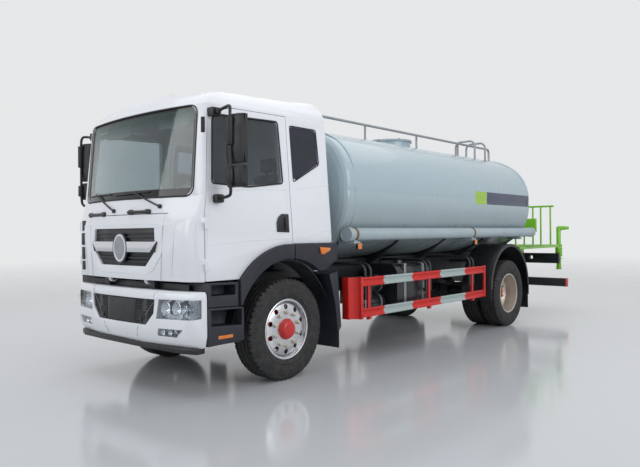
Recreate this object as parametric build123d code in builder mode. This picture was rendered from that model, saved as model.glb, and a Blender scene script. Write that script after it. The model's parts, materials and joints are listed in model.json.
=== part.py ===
"""A cab-over water tanker truck on two axles, in millimetres.

Everything is drawn with Y = 0 at the front axle, X = 0 on the centreline and Z = 0 on the ground. The nose
points to -Y and the vehicle's left side is +X. save() moves each piece once, so that the written origin lies
on the ground in the middle of the overall length.
"""

from collections import namedtuple
from math import cos, radians, sin
import os

from build123d import *

os.makedirs("parts", exist_ok=True)

# Overall: the nose of the bumper and the tip of the rear spray levers.
NOSE = -1210
TAIL = 7390
SHIFT = -(NOSE + TAIL) / 2

# Running gear.
WHEELBASE = 4700
HUB_Z = 500
TYRE_R = 500
RIM_R = 290
TYRE_HALF = 137
FRONT_TYRE_X = 935
DUAL_OUTER_X = 1077
DUAL_INNER_X = 765
KINGPIN_X = 790
ARM_Y = 165
TIE_ROD_Z = 352

# Chassis.
RAIL_X = 430
RAIL_Z = (790, 1030)
RAIL_Y = (-1060, 7040)
FLANGE = 80
PLATE = 10

# Cab.
WALL = 60
GAP = 6
CAB_BOTTOM = 1030
CAB_REAR = 676
FLOOR_Z = (1200, 1240)
BELT_SPLIT = 1790
HEADER_SPLIT = 2598
ROOF_SPLIT = 2625
DOOR_REAR = 56
ARCH_R = 700
FLARE_R = 842
FLARE_TOP = 1340
FLARE_X = 1120
FLARE_INNER_X = 1020

# Tank.
TANK_Y = (917, 5622)
TANK_Z = 1910
TANK_HALF = (1125, 780)
TUBE_X = 1090
TUBE_Z = 1430
TUBE_R = 73
MANHOLE_Y = 3280
MANHOLE_R = 300
LID_Z = (TANK_Z + 862, TANK_Z + 890)
LID_HINGE_Y = MANHOLE_Y + MANHOLE_R + 50
LID_HINGE_Z = TANK_Z + 876

# Outer faces of the side guard and of the rear.
GUARD_X = 1170
UNDERRUN_Y = 7192


def group(*parts):
    """Members that touch but stay separate solids of one piece."""
    return Compound([solid for part in parts for solid in part.solids()])


def save(piece, name):
    moved = getattr(piece, "part", piece).moved(Location((0, SHIFT, 0)))
    moved.label = name
    export_step(moved, f"parts/{name}.step")


def block(x, y, z, mode=Mode.ADD):
    """A box between the pairs of limits x, y and z."""
    middle = tuple((low + high) / 2 for low, high in (x, y, z))
    with Locations(middle):
        Box(x[1] - x[0], y[1] - y[0], z[1] - z[0], mode=mode)


def both_sides(x):
    """The pair of limits x, and its mirror image."""
    return (x, (-x[1], -x[0]))


def side_prism(points, x, radius=0):
    """A side-view outline of (y, z) points, filled from x[0] to x[1]."""
    with BuildPart() as prism:
        with BuildSketch(Plane.YZ.offset(x[0])) as outline:
            with BuildLine():
                Polyline(points, close=True)
            make_face()
            if radius:
                fillet(outline.vertices(), radius)
        extrude(amount=x[1] - x[0])
    return prism.part


def front_prism(points, y, radius=0):
    """A front-view outline of (x, z) points, filled from y[0] to y[1]."""
    with BuildPart() as prism:
        with BuildSketch(Plane.XZ.offset(-y[0])) as outline:
            with BuildLine():
                Polyline(points, close=True)
            make_face()
            if radius:
                fillet(outline.vertices(), radius)
        extrude(amount=-(y[1] - y[0]))
    return prism.part


def bar(start, end, radius):
    """A round bar between two points."""
    axis = Vector(*end) - Vector(*start)
    with BuildPart() as rod:
        with BuildSketch(Plane(origin=start, z_dir=axis.normalized())):
            Circle(radius)
        extrude(amount=axis.length)
    return rod.part


def bent_tube(points, bend, radius):
    """A round tube along straight runs joined by bends of one radius."""
    with BuildPart() as tube:
        with BuildLine() as route:
            FilletPolyline(*points, radius=bend)
        with BuildSketch(Plane(origin=route.line @ 0, z_dir=route.line % 0)):
            Circle(radius)
        sweep()
    return tube.part


def turned(profile, x, y, z):
    """A profile of (x, radius) points turned about the cross axis through (x, y, z)."""
    centre = Plane(origin=(x, y, z), x_dir=(1, 0, 0), z_dir=(0, -1, 0))
    with BuildPart() as body:
        with BuildSketch(centre):
            with BuildLine():
                Polyline(profile, close=True)
            make_face()
        revolve(axis=Axis((x, y, z), (1, 0, 0)))
    return body.part


def reflected(profile):
    return [(-x, radius) for x, radius in profile]


# Cab -------------------------------------------------------------------------------------------------------
# Each level is a plan section: the nose on the centreline, the edge of the front face, the front edge of the
# door opening, and the half width at the back.
Level = namedtuple("Level", "z nose front_x front_y door_x door_y rear_x rear_y bulge")
CAB_LEVELS = (
    Level(1014, -1182, 905, -1116, 1085, -1002, 1088, CAB_REAR, 0.05),
    Level(1420, -1196, 908, -1122, 1085, -998, 1088, CAB_REAR, 0.05),
    Level(1540, -1193, 912, -1114, 1079, -996, 1083, CAB_REAR, 0.06),
    Level(1680, -1186, 922, -1070, 1067, -990, 1073, CAB_REAR, 0.08),
    Level(1772, -1176, 930, -1032, 1056, -984, 1066, CAB_REAR, 0.10),
    Level(2612, -1054, 920, -962, 990, -924, 1000, CAB_REAR, 0.10),
    Level(2640, -1036, 906, -944, 980, -906, 996, CAB_REAR, 0.10),
    Level(2690, -1004, 872, -905, 945, -862, 985, CAB_REAR - 4, 0.10),
    Level(2730, -966, 830, -862, 905, -800, 965, CAB_REAR - 12, 0.10),
    Level(2770, -912, 740, -760, 865, -640, 932, CAB_REAR - 26, 0.10),
    Level(2800, -845, 600, -640, 800, -420, 920, CAB_REAR - 46, 0.10),
    Level(2830, -730, 430, -480, 640, -200, 890, CAB_REAR - 76, 0.10),
    Level(2848, -600, 300, -330, 480, -60, 800, CAB_REAR - 116, 0.10),
)
CORNER = 50


def cab_section(level, inset):
    """Draws one plan section, drawn in by inset, inside a BuildLine."""
    front = (level.front_x - 0.8 * inset, level.front_y + 0.9 * inset)
    door = (level.door_x - inset, level.door_y + 0.5 * inset)
    rear_x = level.rear_x - inset
    rear_y = level.rear_y - inset
    across, along = door[0] - front[0], door[1] - front[1]
    crown = ((front[0] + door[0]) / 2 + level.bulge * along, (front[1] + door[1]) / 2 - level.bulge * across)
    ThreePointArc((-front[0], front[1]), (0, level.nose + inset), front)
    ThreePointArc(front, crown, door)
    Line(door, (rear_x, rear_y - CORNER))
    RadiusArc((rear_x, rear_y - CORNER), (rear_x - CORNER, rear_y), -CORNER)
    Line((rear_x - CORNER, rear_y), (CORNER - rear_x, rear_y))
    RadiusArc((CORNER - rear_x, rear_y), (-rear_x, rear_y - CORNER), -CORNER)
    Line((-rear_x, rear_y - CORNER), (-door[0], door[1]))
    ThreePointArc((-door[0], door[1]), (-crown[0], crown[1]), (-front[0], front[1]))


def cab_body(inset, levels=CAB_LEVELS):
    with BuildPart() as body:
        for level in levels:
            with BuildSketch(Plane.XY.offset(level.z)):
                with BuildLine():
                    cab_section(level, inset)
                make_face()
        loft(ruled=True)
    return body.part


# The cavity has the same sections, drawn in by the wall, with its roof lowered.
CAVITY_LEVELS = (
    CAB_LEVELS[0]._replace(z=900),
    *CAB_LEVELS[1:7],
    CAB_LEVELS[7]._replace(z=2670),
    CAB_LEVELS[8]._replace(z=2700),
    CAB_LEVELS[9]._replace(z=2728),
    CAB_LEVELS[10]._replace(z=2752),
    CAB_LEVELS[11]._replace(z=2776),
)

# The door opening's outline, up the front edge, along the roof and down the back. The wheel arch cuts the door.
DOOR_OUTLINE = (
    (-1020, 1030), (-1020, 1575), (-988, 1800), (-958, 2190), (-928, 2540), (-640, 2606), (DOOR_REAR, 2618),
    (DOOR_REAR, 1030),
)
DOOR_WINDOW = ((-912, 1905), (-866, 2478), (-780, 2515), (-72, 2542), (-50, 1945), (-500, 1893))
QUARTER_WINDOW = ((114, 1968), (110, 2522), (486, 2522), (502, 2170))
WINDSCREEN = ((-916, 1790), (-905, 2598), (905, 2598), (916, 1790))
WINDSCREEN_CORNER = 95
SIDE_X = (860, 1200)


def grown(points, amount):
    """A side-view outline moved outwards by amount (inwards if negative)."""
    with BuildSketch() as outline:
        with BuildLine():
            Polyline(points, close=True)
        make_face()
        offset(amount=amount, kind=Kind.INTERSECTION)
    corners = outline.sketch.faces()[0].outer_wire().order_edges()
    return [(edge.position_at(0).X, edge.position_at(0).Y) for edge in corners]


cab_outer = cab_body(0)
cab_cavity = cab_body(WALL, CAVITY_LEVELS)

with BuildPart() as cab_shell:
    add(cab_outer)
    add(cab_cavity, mode=Mode.SUBTRACT)
    for side in both_sides(SIDE_X):
        add(side_prism(DOOR_OUTLINE, side), mode=Mode.SUBTRACT)
        add(side_prism(QUARTER_WINDOW, side, 30), mode=Mode.SUBTRACT)
        block(side, (-1022, DOOR_REAR), (900, 1040), mode=Mode.SUBTRACT)
        block(side, (-700, CAB_REAR + 1), (900, FLARE_TOP + GAP), mode=Mode.SUBTRACT)
    add(front_prism(WINDSCREEN, (-1300, -700), WINDSCREEN_CORNER), mode=Mode.SUBTRACT)
    block((-1100, 1100), (-1300, 800), (900, CAB_BOTTOM), mode=Mode.SUBTRACT)

FRONT_ZONE = ((-1200, 1200), (-1300, -560), (900, BELT_SPLIT))
PILLAR_ZONE = ((0, 1200), (-1300, -560), (BELT_SPLIT, HEADER_SPLIT))
ROOF_ZONE = side_prism(
    ((-1300, HEADER_SPLIT), (-560, HEADER_SPLIT), (-560, ROOF_SPLIT), (800, ROOF_SPLIT), (800, 2900), (-1300, 2900)),
    (-1200, 1200),
)
REAR_ZONE = ((-1200, 1200), (CAB_REAR - WALL, 800), (900, ROOF_SPLIT))
SIDE_ZONE = ((0, 1200), (-560, CAB_REAR - WALL), (900, ROOF_SPLIT))

# The grille sits in a recess. The cab tilts on ears behind the nose, and each door on two pins beside its front gap.
GRILLE = (
    (-526, 1508), (-540, 1330), (-508, 1270), (-389, 1155), (389, 1155), (508, 1270), (540, 1330), (526, 1508),
)
GRILLE_DEPTH = (20, 50)
TILT_Y = -1090
TILT_Z = 1020
TILT_R = 20
TILT_EAR = (300, 335)
RUNNING = 0.05
DOOR_PIN = (1092, -1024)
DOOR_PIN_R = 6
BARREL_R = 11
BARREL_LENGTH = 50
HINGE_Z = (1180, 1540)

with BuildPart() as cab_front:
    add(cab_shell.part)
    block(*FRONT_ZONE, mode=Mode.INTERSECT)
    add(front_prism(GRILLE, (-1300, -1000)) - cab_body(GRILLE_DEPTH[1]), mode=Mode.SUBTRACT)
    for ear in both_sides(TILT_EAR):
        add(bar((ear[0], TILT_Y, TILT_Z), (ear[1], TILT_Y, TILT_Z), 40))
        block(ear, (TILT_Y - 45, TILT_Y + 40), (TILT_Z, 1070))
    add(bar((-400, TILT_Y, TILT_Z), (400, TILT_Y, TILT_Z), TILT_R + RUNNING), mode=Mode.SUBTRACT)
    for side in (-1, 1):
        for z in HINGE_Z:
            pin = (side * DOOR_PIN[0], DOOR_PIN[1])
            add(bar((*pin, z - BARREL_LENGTH - 3), (*pin, z), BARREL_R + 3), mode=Mode.SUBTRACT)
            add(bar((side * DOOR_PIN[0], DOOR_PIN[1], z), (side * DOOR_PIN[0], DOOR_PIN[1], z + BARREL_LENGTH), BARREL_R))
            add(bar((side * DOOR_PIN[0], DOOR_PIN[1], z - BARREL_LENGTH), (side * DOOR_PIN[0], DOOR_PIN[1], z + 5), DOOR_PIN_R))
    for leaf in both_sides((1030, DOOR_PIN[0] + 4)):
        for z in HINGE_Z:
            block(leaf, (DOOR_PIN[1] - BARREL_R, DOOR_PIN[1] - 2), (z, z + BARREL_LENGTH))

with BuildPart() as cab_roof:
    add(cab_shell.part)
    add(ROOF_ZONE, mode=Mode.INTERSECT)

with BuildPart() as cab_rear:
    add(cab_shell.part)
    block(*REAR_ZONE, mode=Mode.INTERSECT)

with BuildPart() as pillar_left:
    add(cab_shell.part)
    block(*PILLAR_ZONE, mode=Mode.INTERSECT)

with BuildPart() as cab_pillars:
    add(pillar_left.part)
    mirror(pillar_left.part, about=Plane.YZ)

with BuildPart() as side_left:
    add(cab_shell.part)
    block(*SIDE_ZONE, mode=Mode.INTERSECT)

with BuildPart() as cab_sides:
    add(side_left.part)
    mirror(side_left.part, about=Plane.YZ)

# What the door's front edge sweeps as it swings is left open.
HINGE_SWEEP_X = 850

with BuildPart() as cab_floor:
    add(cab_cavity)
    block((-1016, 1016), (-1300, 800), FLOOR_Z, mode=Mode.INTERSECT)
    for room in both_sides((HINGE_SWEEP_X, 1200)):
        block(room, (-1300, -870), (1100, 1300), mode=Mode.SUBTRACT)
    block((-330, 330), (-700, CAB_REAR - WALL), (FLOOR_Z[1], 1420))

# Glass ------------------------------------------------------------------------------------------------------
GLASS = 8
GLASS_INSET = 10

with BuildPart() as glass_layer:
    add(cab_body(GLASS_INSET))
    add(cab_body(GLASS_INSET + GLASS), mode=Mode.SUBTRACT)

with BuildPart() as windscreen:
    add(glass_layer.part)
    add(front_prism(WINDSCREEN, (-1300, -700), WINDSCREEN_CORNER), mode=Mode.INTERSECT)

with BuildPart() as quarter_left:
    add(glass_layer.part)
    add(side_prism(QUARTER_WINDOW, SIDE_X, 30), mode=Mode.INTERSECT)

with BuildPart() as quarter_glass:
    add(quarter_left.part)
    mirror(quarter_left.part, about=Plane.YZ)

with BuildPart() as door_glass_left:
    add(glass_layer.part)
    add(side_prism(DOOR_WINDOW, SIDE_X, 34), mode=Mode.INTERSECT)

# Doors, with the front half of the wheel arch flare and the mirrors that ride on them ------------------------
with BuildPart() as door_left:
    add(cab_outer)
    add(cab_cavity, mode=Mode.SUBTRACT)
    add(side_prism(grown(DOOR_OUTLINE, -GAP), SIDE_X), mode=Mode.INTERSECT)
    add(side_prism(DOOR_WINDOW, SIDE_X, 34), mode=Mode.SUBTRACT)
    add(bar((800, 0, HUB_Z), (1200, 0, HUB_Z), FLARE_R), mode=Mode.SUBTRACT)
    for z in HINGE_Z:
        block((1030, DOOR_PIN[0] + 4), (DOOR_PIN[1] + 8, DOOR_PIN[1] + 32), (z - BARREL_LENGTH, z - 0.5))
        add(bar((*DOOR_PIN, z - BARREL_LENGTH), (*DOOR_PIN, z - 0.5), BARREL_R))
        add(bar((*DOOR_PIN, z - BARREL_LENGTH - 1), (*DOOR_PIN, z), DOOR_PIN_R + RUNNING), mode=Mode.SUBTRACT)

with BuildPart() as flare_ring:
    with BuildSketch(Plane.YZ.offset(FLARE_INNER_X)):
        with Locations((0, HUB_Z)):
            Circle(FLARE_R - 1)
            Circle(ARCH_R, mode=Mode.SUBTRACT)
    extrude(amount=FLARE_X - FLARE_INNER_X)

with BuildPart() as door_flare_left:
    add(flare_ring.part)
    block((1000, 1200), (-900, DOOR_REAR - GAP), (800, 1400), mode=Mode.INTERSECT)
    block((1000, 1200), (-900, -655), (790, 1030), mode=Mode.SUBTRACT)

FLARE_REAR = (
    (DOOR_REAR + GAP, FLARE_TOP),
    (690, FLARE_TOP),
    (704, FLARE_TOP - 14),
    (704, 1165),
    (500, 1060),
)
with BuildPart() as flare_rear_left:
    add(side_prism([*FLARE_REAR, (DOOR_REAR + GAP, 1060)], (FLARE_INNER_X, FLARE_X)))
    with BuildSketch(Plane.YZ.offset(1010)):
        with Locations((0, HUB_Z)):
            Circle(ARCH_R)
    extrude(amount=120, mode=Mode.SUBTRACT)

with BuildPart() as cab_flares:
    add(flare_rear_left.part)
    mirror(flare_rear_left.part, about=Plane.YZ)

# Each mirror head hangs on two barrels beside the door window.
MIRROR_X = (1190, 1400)
MIRROR_Y = (-950, -868)
MIRROR_PIVOT = (1100, -880)
MIRROR_ARMS = ((2530, 1000, 2460), (1760, 1065, 1870))


def mirror_part():
    with BuildPart() as head:
        block(MIRROR_X, MIRROR_Y, (2070, 2470))
        block(MIRROR_X, MIRROR_Y, (1860, 2050))
        add(bar((1290, -880, 2040), (1290, -880, 2080), 14))
        for height, _, end in MIRROR_ARMS:
            add(bent_tube([(*MIRROR_PIVOT, height), (1290, -880, height), (1290, -880, end)], 40, 14))
    with BuildPart() as whole:
        add(head.part)
        for height, root, _ in MIRROR_ARMS:
            block((root - 30, root + 30), (-905, -825), (height - 40, height + 40))
            add(bar((root, MIRROR_PIVOT[1], height), (*MIRROR_PIVOT, height), 14))
            add(bar((*MIRROR_PIVOT, height - 22), (*MIRROR_PIVOT, height + 22), 19))
        add(cab_outer, mode=Mode.SUBTRACT)
    return whole.part


mirror_left = mirror_part()

# Cab fittings --------------------------------------------------------------------------------------------------
GRILLE_BAR = ((-572, 1384), (-534, 1285), (534, 1285), (572, 1384))
with BuildPart() as grille:
    add(cab_body(GRILLE_DEPTH[0]))
    add(cab_body(GRILLE_DEPTH[1]), mode=Mode.SUBTRACT)
    add(front_prism(GRILLE, (-1300, -1000)), mode=Mode.INTERSECT)
    bar_zone = front_prism(GRILLE_BAR, (-1300, -1000))
    add((cab_body(-12) - cab_outer) & bar_zone)
    add((cab_outer - cab_body(GRILLE_DEPTH[0])) & bar_zone & front_prism(GRILLE, (-1300, -1000)))

DASH_Y = -700
WHEEL_POINT = (570, -560, 1850)
COLUMN_AXIS = (0, sin(radians(35)), cos(radians(35)))


def along_column(distance):
    return tuple(start + distance * part for start, part in zip(WHEEL_POINT, COLUMN_AXIS))


with BuildPart() as dashboard:
    add(cab_body(WALL + 14, CAVITY_LEVELS))
    block((-HINGE_SWEEP_X, HINGE_SWEEP_X), (-1300, DASH_Y), (1420, 1800), mode=Mode.INTERSECT)
    add(bar(along_column(-6), along_column(-300), 40))

SEATS = ((-570, 460), (570, 460))
with BuildPart() as seats:
    for x, width in SEATS:
        block((x - width / 2, x + width / 2), (-330, 190), (FLOOR_Z[1], 1640))
        block((x - width / 2, x + width / 2), (190, 320), (1500, 2250))

with BuildPart() as steering_wheel:
    with BuildSketch(Plane(origin=WHEEL_POINT, z_dir=COLUMN_AXIS)):
        Circle(230)
        Circle(200, mode=Mode.SUBTRACT)
        Circle(55)
        Rectangle(410, 34)
    extrude(amount=26)

# Front: bumper, lamps and steps, all on the chassis ---------------------------------------------------------------
BUMPER_LEVELS = (
    Level(448, -1146, 862, -1076, 1046, -1008, 1046, -1000, 0.03),
    Level(480, -1178, 884, -1106, 1070, -1024, 1070, -1000, 0.03),
    Level(560, NOSE, 905, -1136, 1088, -1036, 1088, -1000, 0.03),
    Level(880, NOSE, 905, -1136, 1088, -1036, 1088, -1000, 0.03),
    Level(925, -1202, 899, -1126, 1083, -1030, 1083, -1000, 0.03),
    Level(944, -1182, 886, -1108, 1066, -1024, 1066, -1000, 0.03),
)
BUMPER_WALL = 70


def bumper_body(inset):
    with BuildPart() as body:
        for level in BUMPER_LEVELS:
            with BuildSketch(Plane.XY.offset(level.z)):
                with BuildLine():
                    front = (level.front_x - 0.8 * inset, level.front_y + 0.9 * inset)
                    side = (level.door_x - inset, level.door_y + 0.5 * inset)
                    across, along = side[0] - front[0], side[1] - front[1]
                    crown = (
                        (front[0] + side[0]) / 2 + level.bulge * along,
                        (front[1] + side[1]) / 2 - level.bulge * across,
                    )
                    ThreePointArc((-front[0], front[1]), (0, level.nose + inset), front)
                    ThreePointArc(front, crown, side)
                    Polyline(side, (side[0], -960), (-side[0], -960), (-side[0], side[1]))
                    ThreePointArc((-side[0], side[1]), (-crown[0], crown[1]), (-front[0], front[1]))
                make_face()
        loft(ruled=True)
    return body.part


MESH = ((-546, 862), (-528, 735), (-415, 623), (415, 623), (528, 735), (546, 862))
LAMP = ((600, 866), (1060, 876), (1060, 715), (990, 700), (560, 690))
LAMP_BACK = -1030
FOG = ((590, 605), (900, 612), (820, 540), (575, 538))
with BuildPart() as bumper:
    add(bumper_body(0))
    add(bumper_body(BUMPER_WALL), mode=Mode.SUBTRACT)
    block((-1200, 1200), (-1018, -900), (400, 1000), mode=Mode.SUBTRACT)
    block((-700, 700), (-1095, -900), (400, 1000), mode=Mode.SUBTRACT)
    add(front_prism(MESH, (-1300, -1100)), mode=Mode.SUBTRACT)
    for outline in (LAMP, FOG):
        pocket = front_prism(outline, (-1300, LAMP_BACK))
        add(pocket, mode=Mode.SUBTRACT)
        mirror(pocket, about=Plane.YZ, mode=Mode.SUBTRACT)

with BuildPart() as bumper_mesh:
    add(bumper_body(14))
    add(bumper_body(40), mode=Mode.SUBTRACT)
    add(front_prism(MESH, (-1300, -1100)), mode=Mode.INTERSECT)

with BuildPart() as lamps_left:
    add(bumper_body(4))
    add(bumper_body(60), mode=Mode.SUBTRACT)
    add(front_prism(LAMP, (-1300, LAMP_BACK)) + front_prism(FOG, (-1300, LAMP_BACK)), mode=Mode.INTERSECT)

with BuildPart() as lamps:
    add(lamps_left.part)
    mirror(lamps_left.part, about=Plane.YZ)

# The steps under the door: a fairing with two treads cut into its outer side.
STEP_X = (800, 1096)
FAIRING_SIDE = ((-1012, 1022), (-664, 1012), (-664, 796), (-1012, 808))
FAIRING_CUT = ((-975, 905), (-975, 1000), (-700, 992), (-700, 900))
STEP_SIDE = ((-1012, 802), (-664, 790), (-600, 780), (-600, 480), (-1012, 466))
STEP_CUT = ((-975, 640), (-975, 780), (-625, 768), (-625, 620))
with BuildPart() as fairing_left:
    add(side_prism(FAIRING_SIDE, STEP_X))
    add(side_prism(FAIRING_CUT, (STEP_X[1] - 160, STEP_X[1] + 1)), mode=Mode.SUBTRACT)
    block((STEP_X[0], STEP_X[1] - 160), (-1000, -676), (780, 815))

with BuildPart() as step_left:
    add(side_prism(STEP_SIDE, STEP_X))
    add(side_prism(STEP_CUT, (STEP_X[1] - 190, STEP_X[1] + 1)), mode=Mode.SUBTRACT)
    add(fairing_left.part, mode=Mode.SUBTRACT)
    block((RAIL_X, STEP_X[0] + 1), (-860, -800), (700, 760))
    block((RAIL_X, RAIL_X + 20), (-860, -800), (700, 860))

with BuildPart() as step_fairings:
    add(fairing_left.part)
    mirror(fairing_left.part, about=Plane.YZ)

with BuildPart() as steps:
    add(step_left.part)
    mirror(step_left.part, about=Plane.YZ)

# Mudguards behind the front wheels, with their flaps.
MUDGUARD = ((600, 1010), (735, 1035), (790, 440), (752, 392), (752, 215), (732, 215), (732, 392), (690, 700))
with BuildPart() as mudguard_left:
    add(side_prism(MUDGUARD, (780, 1095)))
    block((RAIL_X, 781), (650, 700), (900, 950))

with BuildPart() as front_mudguards:
    add(mudguard_left.part)
    mirror(mudguard_left.part, about=Plane.YZ)

# Chassis frame --------------------------------------------------------------------------------------------------
CROSSMEMBER_Y = (-1020, 1500, 2700, 3900, 5500, 6980)
TANK_FRAME_Z = (RAIL_Z[1], 1120)
SADDLE_Y = (1000, 2150, 3300, 4450, 5560)


def tank_section(grow=0):
    """The tank's oval: eight tangent-like arcs through points of a superellipse."""
    half_x, half_z = TANK_HALF[0] + grow, TANK_HALF[1] + grow
    power = 2 / 2.5
    points = []
    for step in range(16):
        angle = radians(22.5 * step)
        c, s = cos(angle), sin(angle)
        points.append((half_x * abs(c) ** power * (1 if c >= 0 else -1), half_z * abs(s) ** power * (1 if s >= 0 else -1)))
    points.append(points[0])
    for k in range(0, 16, 2):
        ThreePointArc(*points[k : k + 3])


def tank_body(ends, grow=0):
    with BuildPart() as body:
        with BuildSketch(Plane(origin=(0, ends[0], TANK_Z), x_dir=(1, 0, 0), z_dir=(0, -1, 0))):
            with BuildLine():
                tank_section(grow)
            make_face()
        extrude(amount=-(ends[1] - ends[0]))
    return body.part


tank_room = tank_body((TANK_Y[0] - 200, TANK_Y[1] + 200))

# Each head is dished: how far each of its rings stands out, and how far it is drawn in.
HEAD_RINGS = ((0, 0), (26, 14), (48, 44), (66, 100), (80, 190), (90, 320), (96, 470))


def tank_head(end, outwards):
    with BuildPart() as head:
        for depth, shrink in HEAD_RINGS:
            with BuildSketch(Plane(origin=(0, end + outwards * depth, TANK_Z), x_dir=(1, 0, 0), z_dir=(0, -1, 0))):
                with BuildLine():
                    tank_section(-shrink)
                make_face()
        loft(ruled=True)
    return head.part

# The frame's members meet face to face, and each stays a solid of its own.
SADDLE = ((-900, 1470), (-900, 1340), (-440, 1030), (440, 1030), (900, 1340), (900, 1470))
SADDLE_HALF = 30
BRACKET_X = (RAIL_X - FLANGE + 10, RAIL_X)
with BuildPart() as rail_left:
    block((RAIL_X - FLANGE, RAIL_X), RAIL_Y, RAIL_Z)
    block(
        (RAIL_X - FLANGE - 1, RAIL_X - PLATE),
        (RAIL_Y[0] - 1, RAIL_Y[1] + 1),
        (RAIL_Z[0] + PLATE, RAIL_Z[1] - PLATE),
        mode=Mode.SUBTRACT,
    )

with BuildPart() as tilt_bracket:
    block(BRACKET_X, (TILT_Y - 16, RAIL_Y[0]), (950, RAIL_Z[1]))
    add(bar((TILT_EAR[0] - 10, TILT_Y, TILT_Z), (BRACKET_X[1], TILT_Y, TILT_Z), TILT_R))

with BuildPart() as bumper_bracket:
    block(BRACKET_X, (-1160, RAIL_Y[0]), (872, 925))
    add(bumper_body(0) - bumper_body(BUMPER_WALL), mode=Mode.SUBTRACT)

members = []
for part in (rail_left.part, tilt_bracket.part, bumper_bracket.part):
    members += [part, part.mirror(Plane.YZ)]
for y in CROSSMEMBER_Y:
    with BuildPart() as member:
        block((PLATE - RAIL_X, RAIL_X - PLATE), (y - 35, y + 35), (870, 1000))
    members.append(member.part)
for y in SADDLE_Y:
    members.append(front_prism(SADDLE, (y - SADDLE_HALF, y + SADDLE_HALF)) - tank_room)
for start, end in zip(SADDLE_Y, SADDLE_Y[1:]):
    for side in both_sides((RAIL_X - FLANGE, RAIL_X)):
        with BuildPart() as member:
            block(side, (start + SADDLE_HALF, end - SADDLE_HALF), TANK_FRAME_Z)
        members.append(member.part)
frame = group(*members)

with BuildPart() as engine:
    block((-290, 290), (-500, 560), (640, 1170))
    block((-190, 190), (560, 1250), (620, 960))
    block((-340, 340), (-840, -700), (600, 1150))
    block((-120, 120), (-700, -500), (860, 960))
    for foot in both_sides((290, RAIL_X - PLATE)):
        for y in (-300, 300):
            block(foot, (y - 50, y + 50), (840, 900))

with BuildPart() as propshaft:
    add(bar((0, 1256, 760), (0, 4470, 560), 45))

LEAF_WIDTH = 75
with BuildPart() as springs:
    for x in (-RAIL_X + 20, RAIL_X - 20):
        for axle_y, half, top in ((0, 780, 590), (WHEELBASE, 820, 640)):
            side = (x - LEAF_WIDTH / 2, x + LEAF_WIDTH / 2)
            arc = ((axle_y - half, 700), (axle_y, top - 60), (axle_y + half, 700))
            with BuildSketch(Plane.YZ.offset(side[0])):
                with BuildLine():
                    ThreePointArc(*arc)
                    Line(arc[2], (arc[2][0], 740))
                    ThreePointArc((arc[2][0], 740), (axle_y, top), (arc[0][0], 740))
                    Line((arc[0][0], 740), arc[0])
                make_face()
            extrude(amount=LEAF_WIDTH)
            for end in (-half + 30, half - 30):
                block(side, (axle_y + end - 30, axle_y + end + 30), (720, RAIL_Z[0]))

# Axles, knuckles and the tie rod ------------------------------------------------------------------------------------
BEAM = ((-750, 450), (-600, 380), (600, 380), (750, 450), (750, 540), (560, 500), (-560, 500), (-750, 540))
EYE_R = 42
PIN_R = 22
with BuildPart() as front_axle:
    add(front_prism(BEAM, (-45, 45)))
    for x in (-KINGPIN_X, KINGPIN_X):
        add(bar((x, 0, 425), (x, 0, 575), EYE_R))
    for x in (-KINGPIN_X, KINGPIN_X):
        add(bar((x, 0, 400), (x, 0, 600), PIN_R + 1), mode=Mode.SUBTRACT)
    for side in both_sides((RAIL_X - 20 - LEAF_WIDTH / 2, RAIL_X - 20 + LEAF_WIDTH / 2)):
        block(side, (-60, 60), (480, 529))

PLATE_X = (KINGPIN_X + 50, KINGPIN_X + 68)
with BuildPart() as knuckle_left:
    block(PLATE_X, (-75, 75), (378, 622))
    for z in ((380, 418), (582, 620)):
        block((KINGPIN_X - 45, PLATE_X[0]), (-48, 48), z)
    add(bar((KINGPIN_X, 0, 390), (KINGPIN_X, 0, 610), PIN_R))
    add(bar((PLATE_X[1], 0, HUB_Z), (PLATE_X[1] + 8, 0, HUB_Z), 185))
    add(bar((PLATE_X[1], 0, HUB_Z), (1000, 0, HUB_Z), 35))
    block((KINGPIN_X - 30, KINGPIN_X + 30), (40, ARM_Y + 30), (385, 412))
    add(bar((KINGPIN_X, ARM_Y, 380), (KINGPIN_X, ARM_Y, 420), 15), mode=Mode.SUBTRACT)

with BuildPart() as knuckle_right:
    mirror(knuckle_left.part, about=Plane.YZ)

with BuildPart() as tie_rod:
    add(bar((-KINGPIN_X - 18, ARM_Y, TIE_ROD_Z), (KINGPIN_X + 18, ARM_Y, TIE_ROD_Z), 18))
    for x in (-KINGPIN_X, KINGPIN_X):
        add(bar((x, ARM_Y, TIE_ROD_Z), (x, ARM_Y, 420), 14))

with BuildPart() as rear_axle:
    add(bar((-640, WHEELBASE, HUB_Z), (640, WHEELBASE, HUB_Z), 72))
    add(bar((-700, WHEELBASE, HUB_Z), (700, WHEELBASE, HUB_Z), 40))
    add(bar((0, WHEELBASE - 150, HUB_Z + 20), (0, WHEELBASE + 150, HUB_Z + 20), 205))
    add(bar((0, WHEELBASE - 220, HUB_Z + 52), (0, WHEELBASE - 140, HUB_Z + 40), 80))
    for side in both_sides((RAIL_X - 20 - LEAF_WIDTH / 2, RAIL_X - 20 + LEAF_WIDTH / 2)):
        block(side, (WHEELBASE - 70, WHEELBASE + 70), (HUB_Z + 40, 578))

# Wheels ---------------------------------------------------------------------------------------------------------------
TYRE = ((-102, RIM_R), (-TYRE_HALF, 390), (-128, 465), (-106, TYRE_R))
TYRE_PROFILE = (*TYRE, *reversed(reflected(TYRE)))

with BuildPart() as tyre_front_left:
    add(turned(TYRE_PROFILE, FRONT_TYRE_X, 0, HUB_Z))

with BuildPart() as tyre_front_right:
    add(turned(TYRE_PROFILE, -FRONT_TYRE_X, 0, HUB_Z))

with BuildPart() as tyres_rear_left:
    for x in (DUAL_INNER_X, DUAL_OUTER_X):
        add(turned(TYRE_PROFILE, x, WHEELBASE, HUB_Z))

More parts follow.
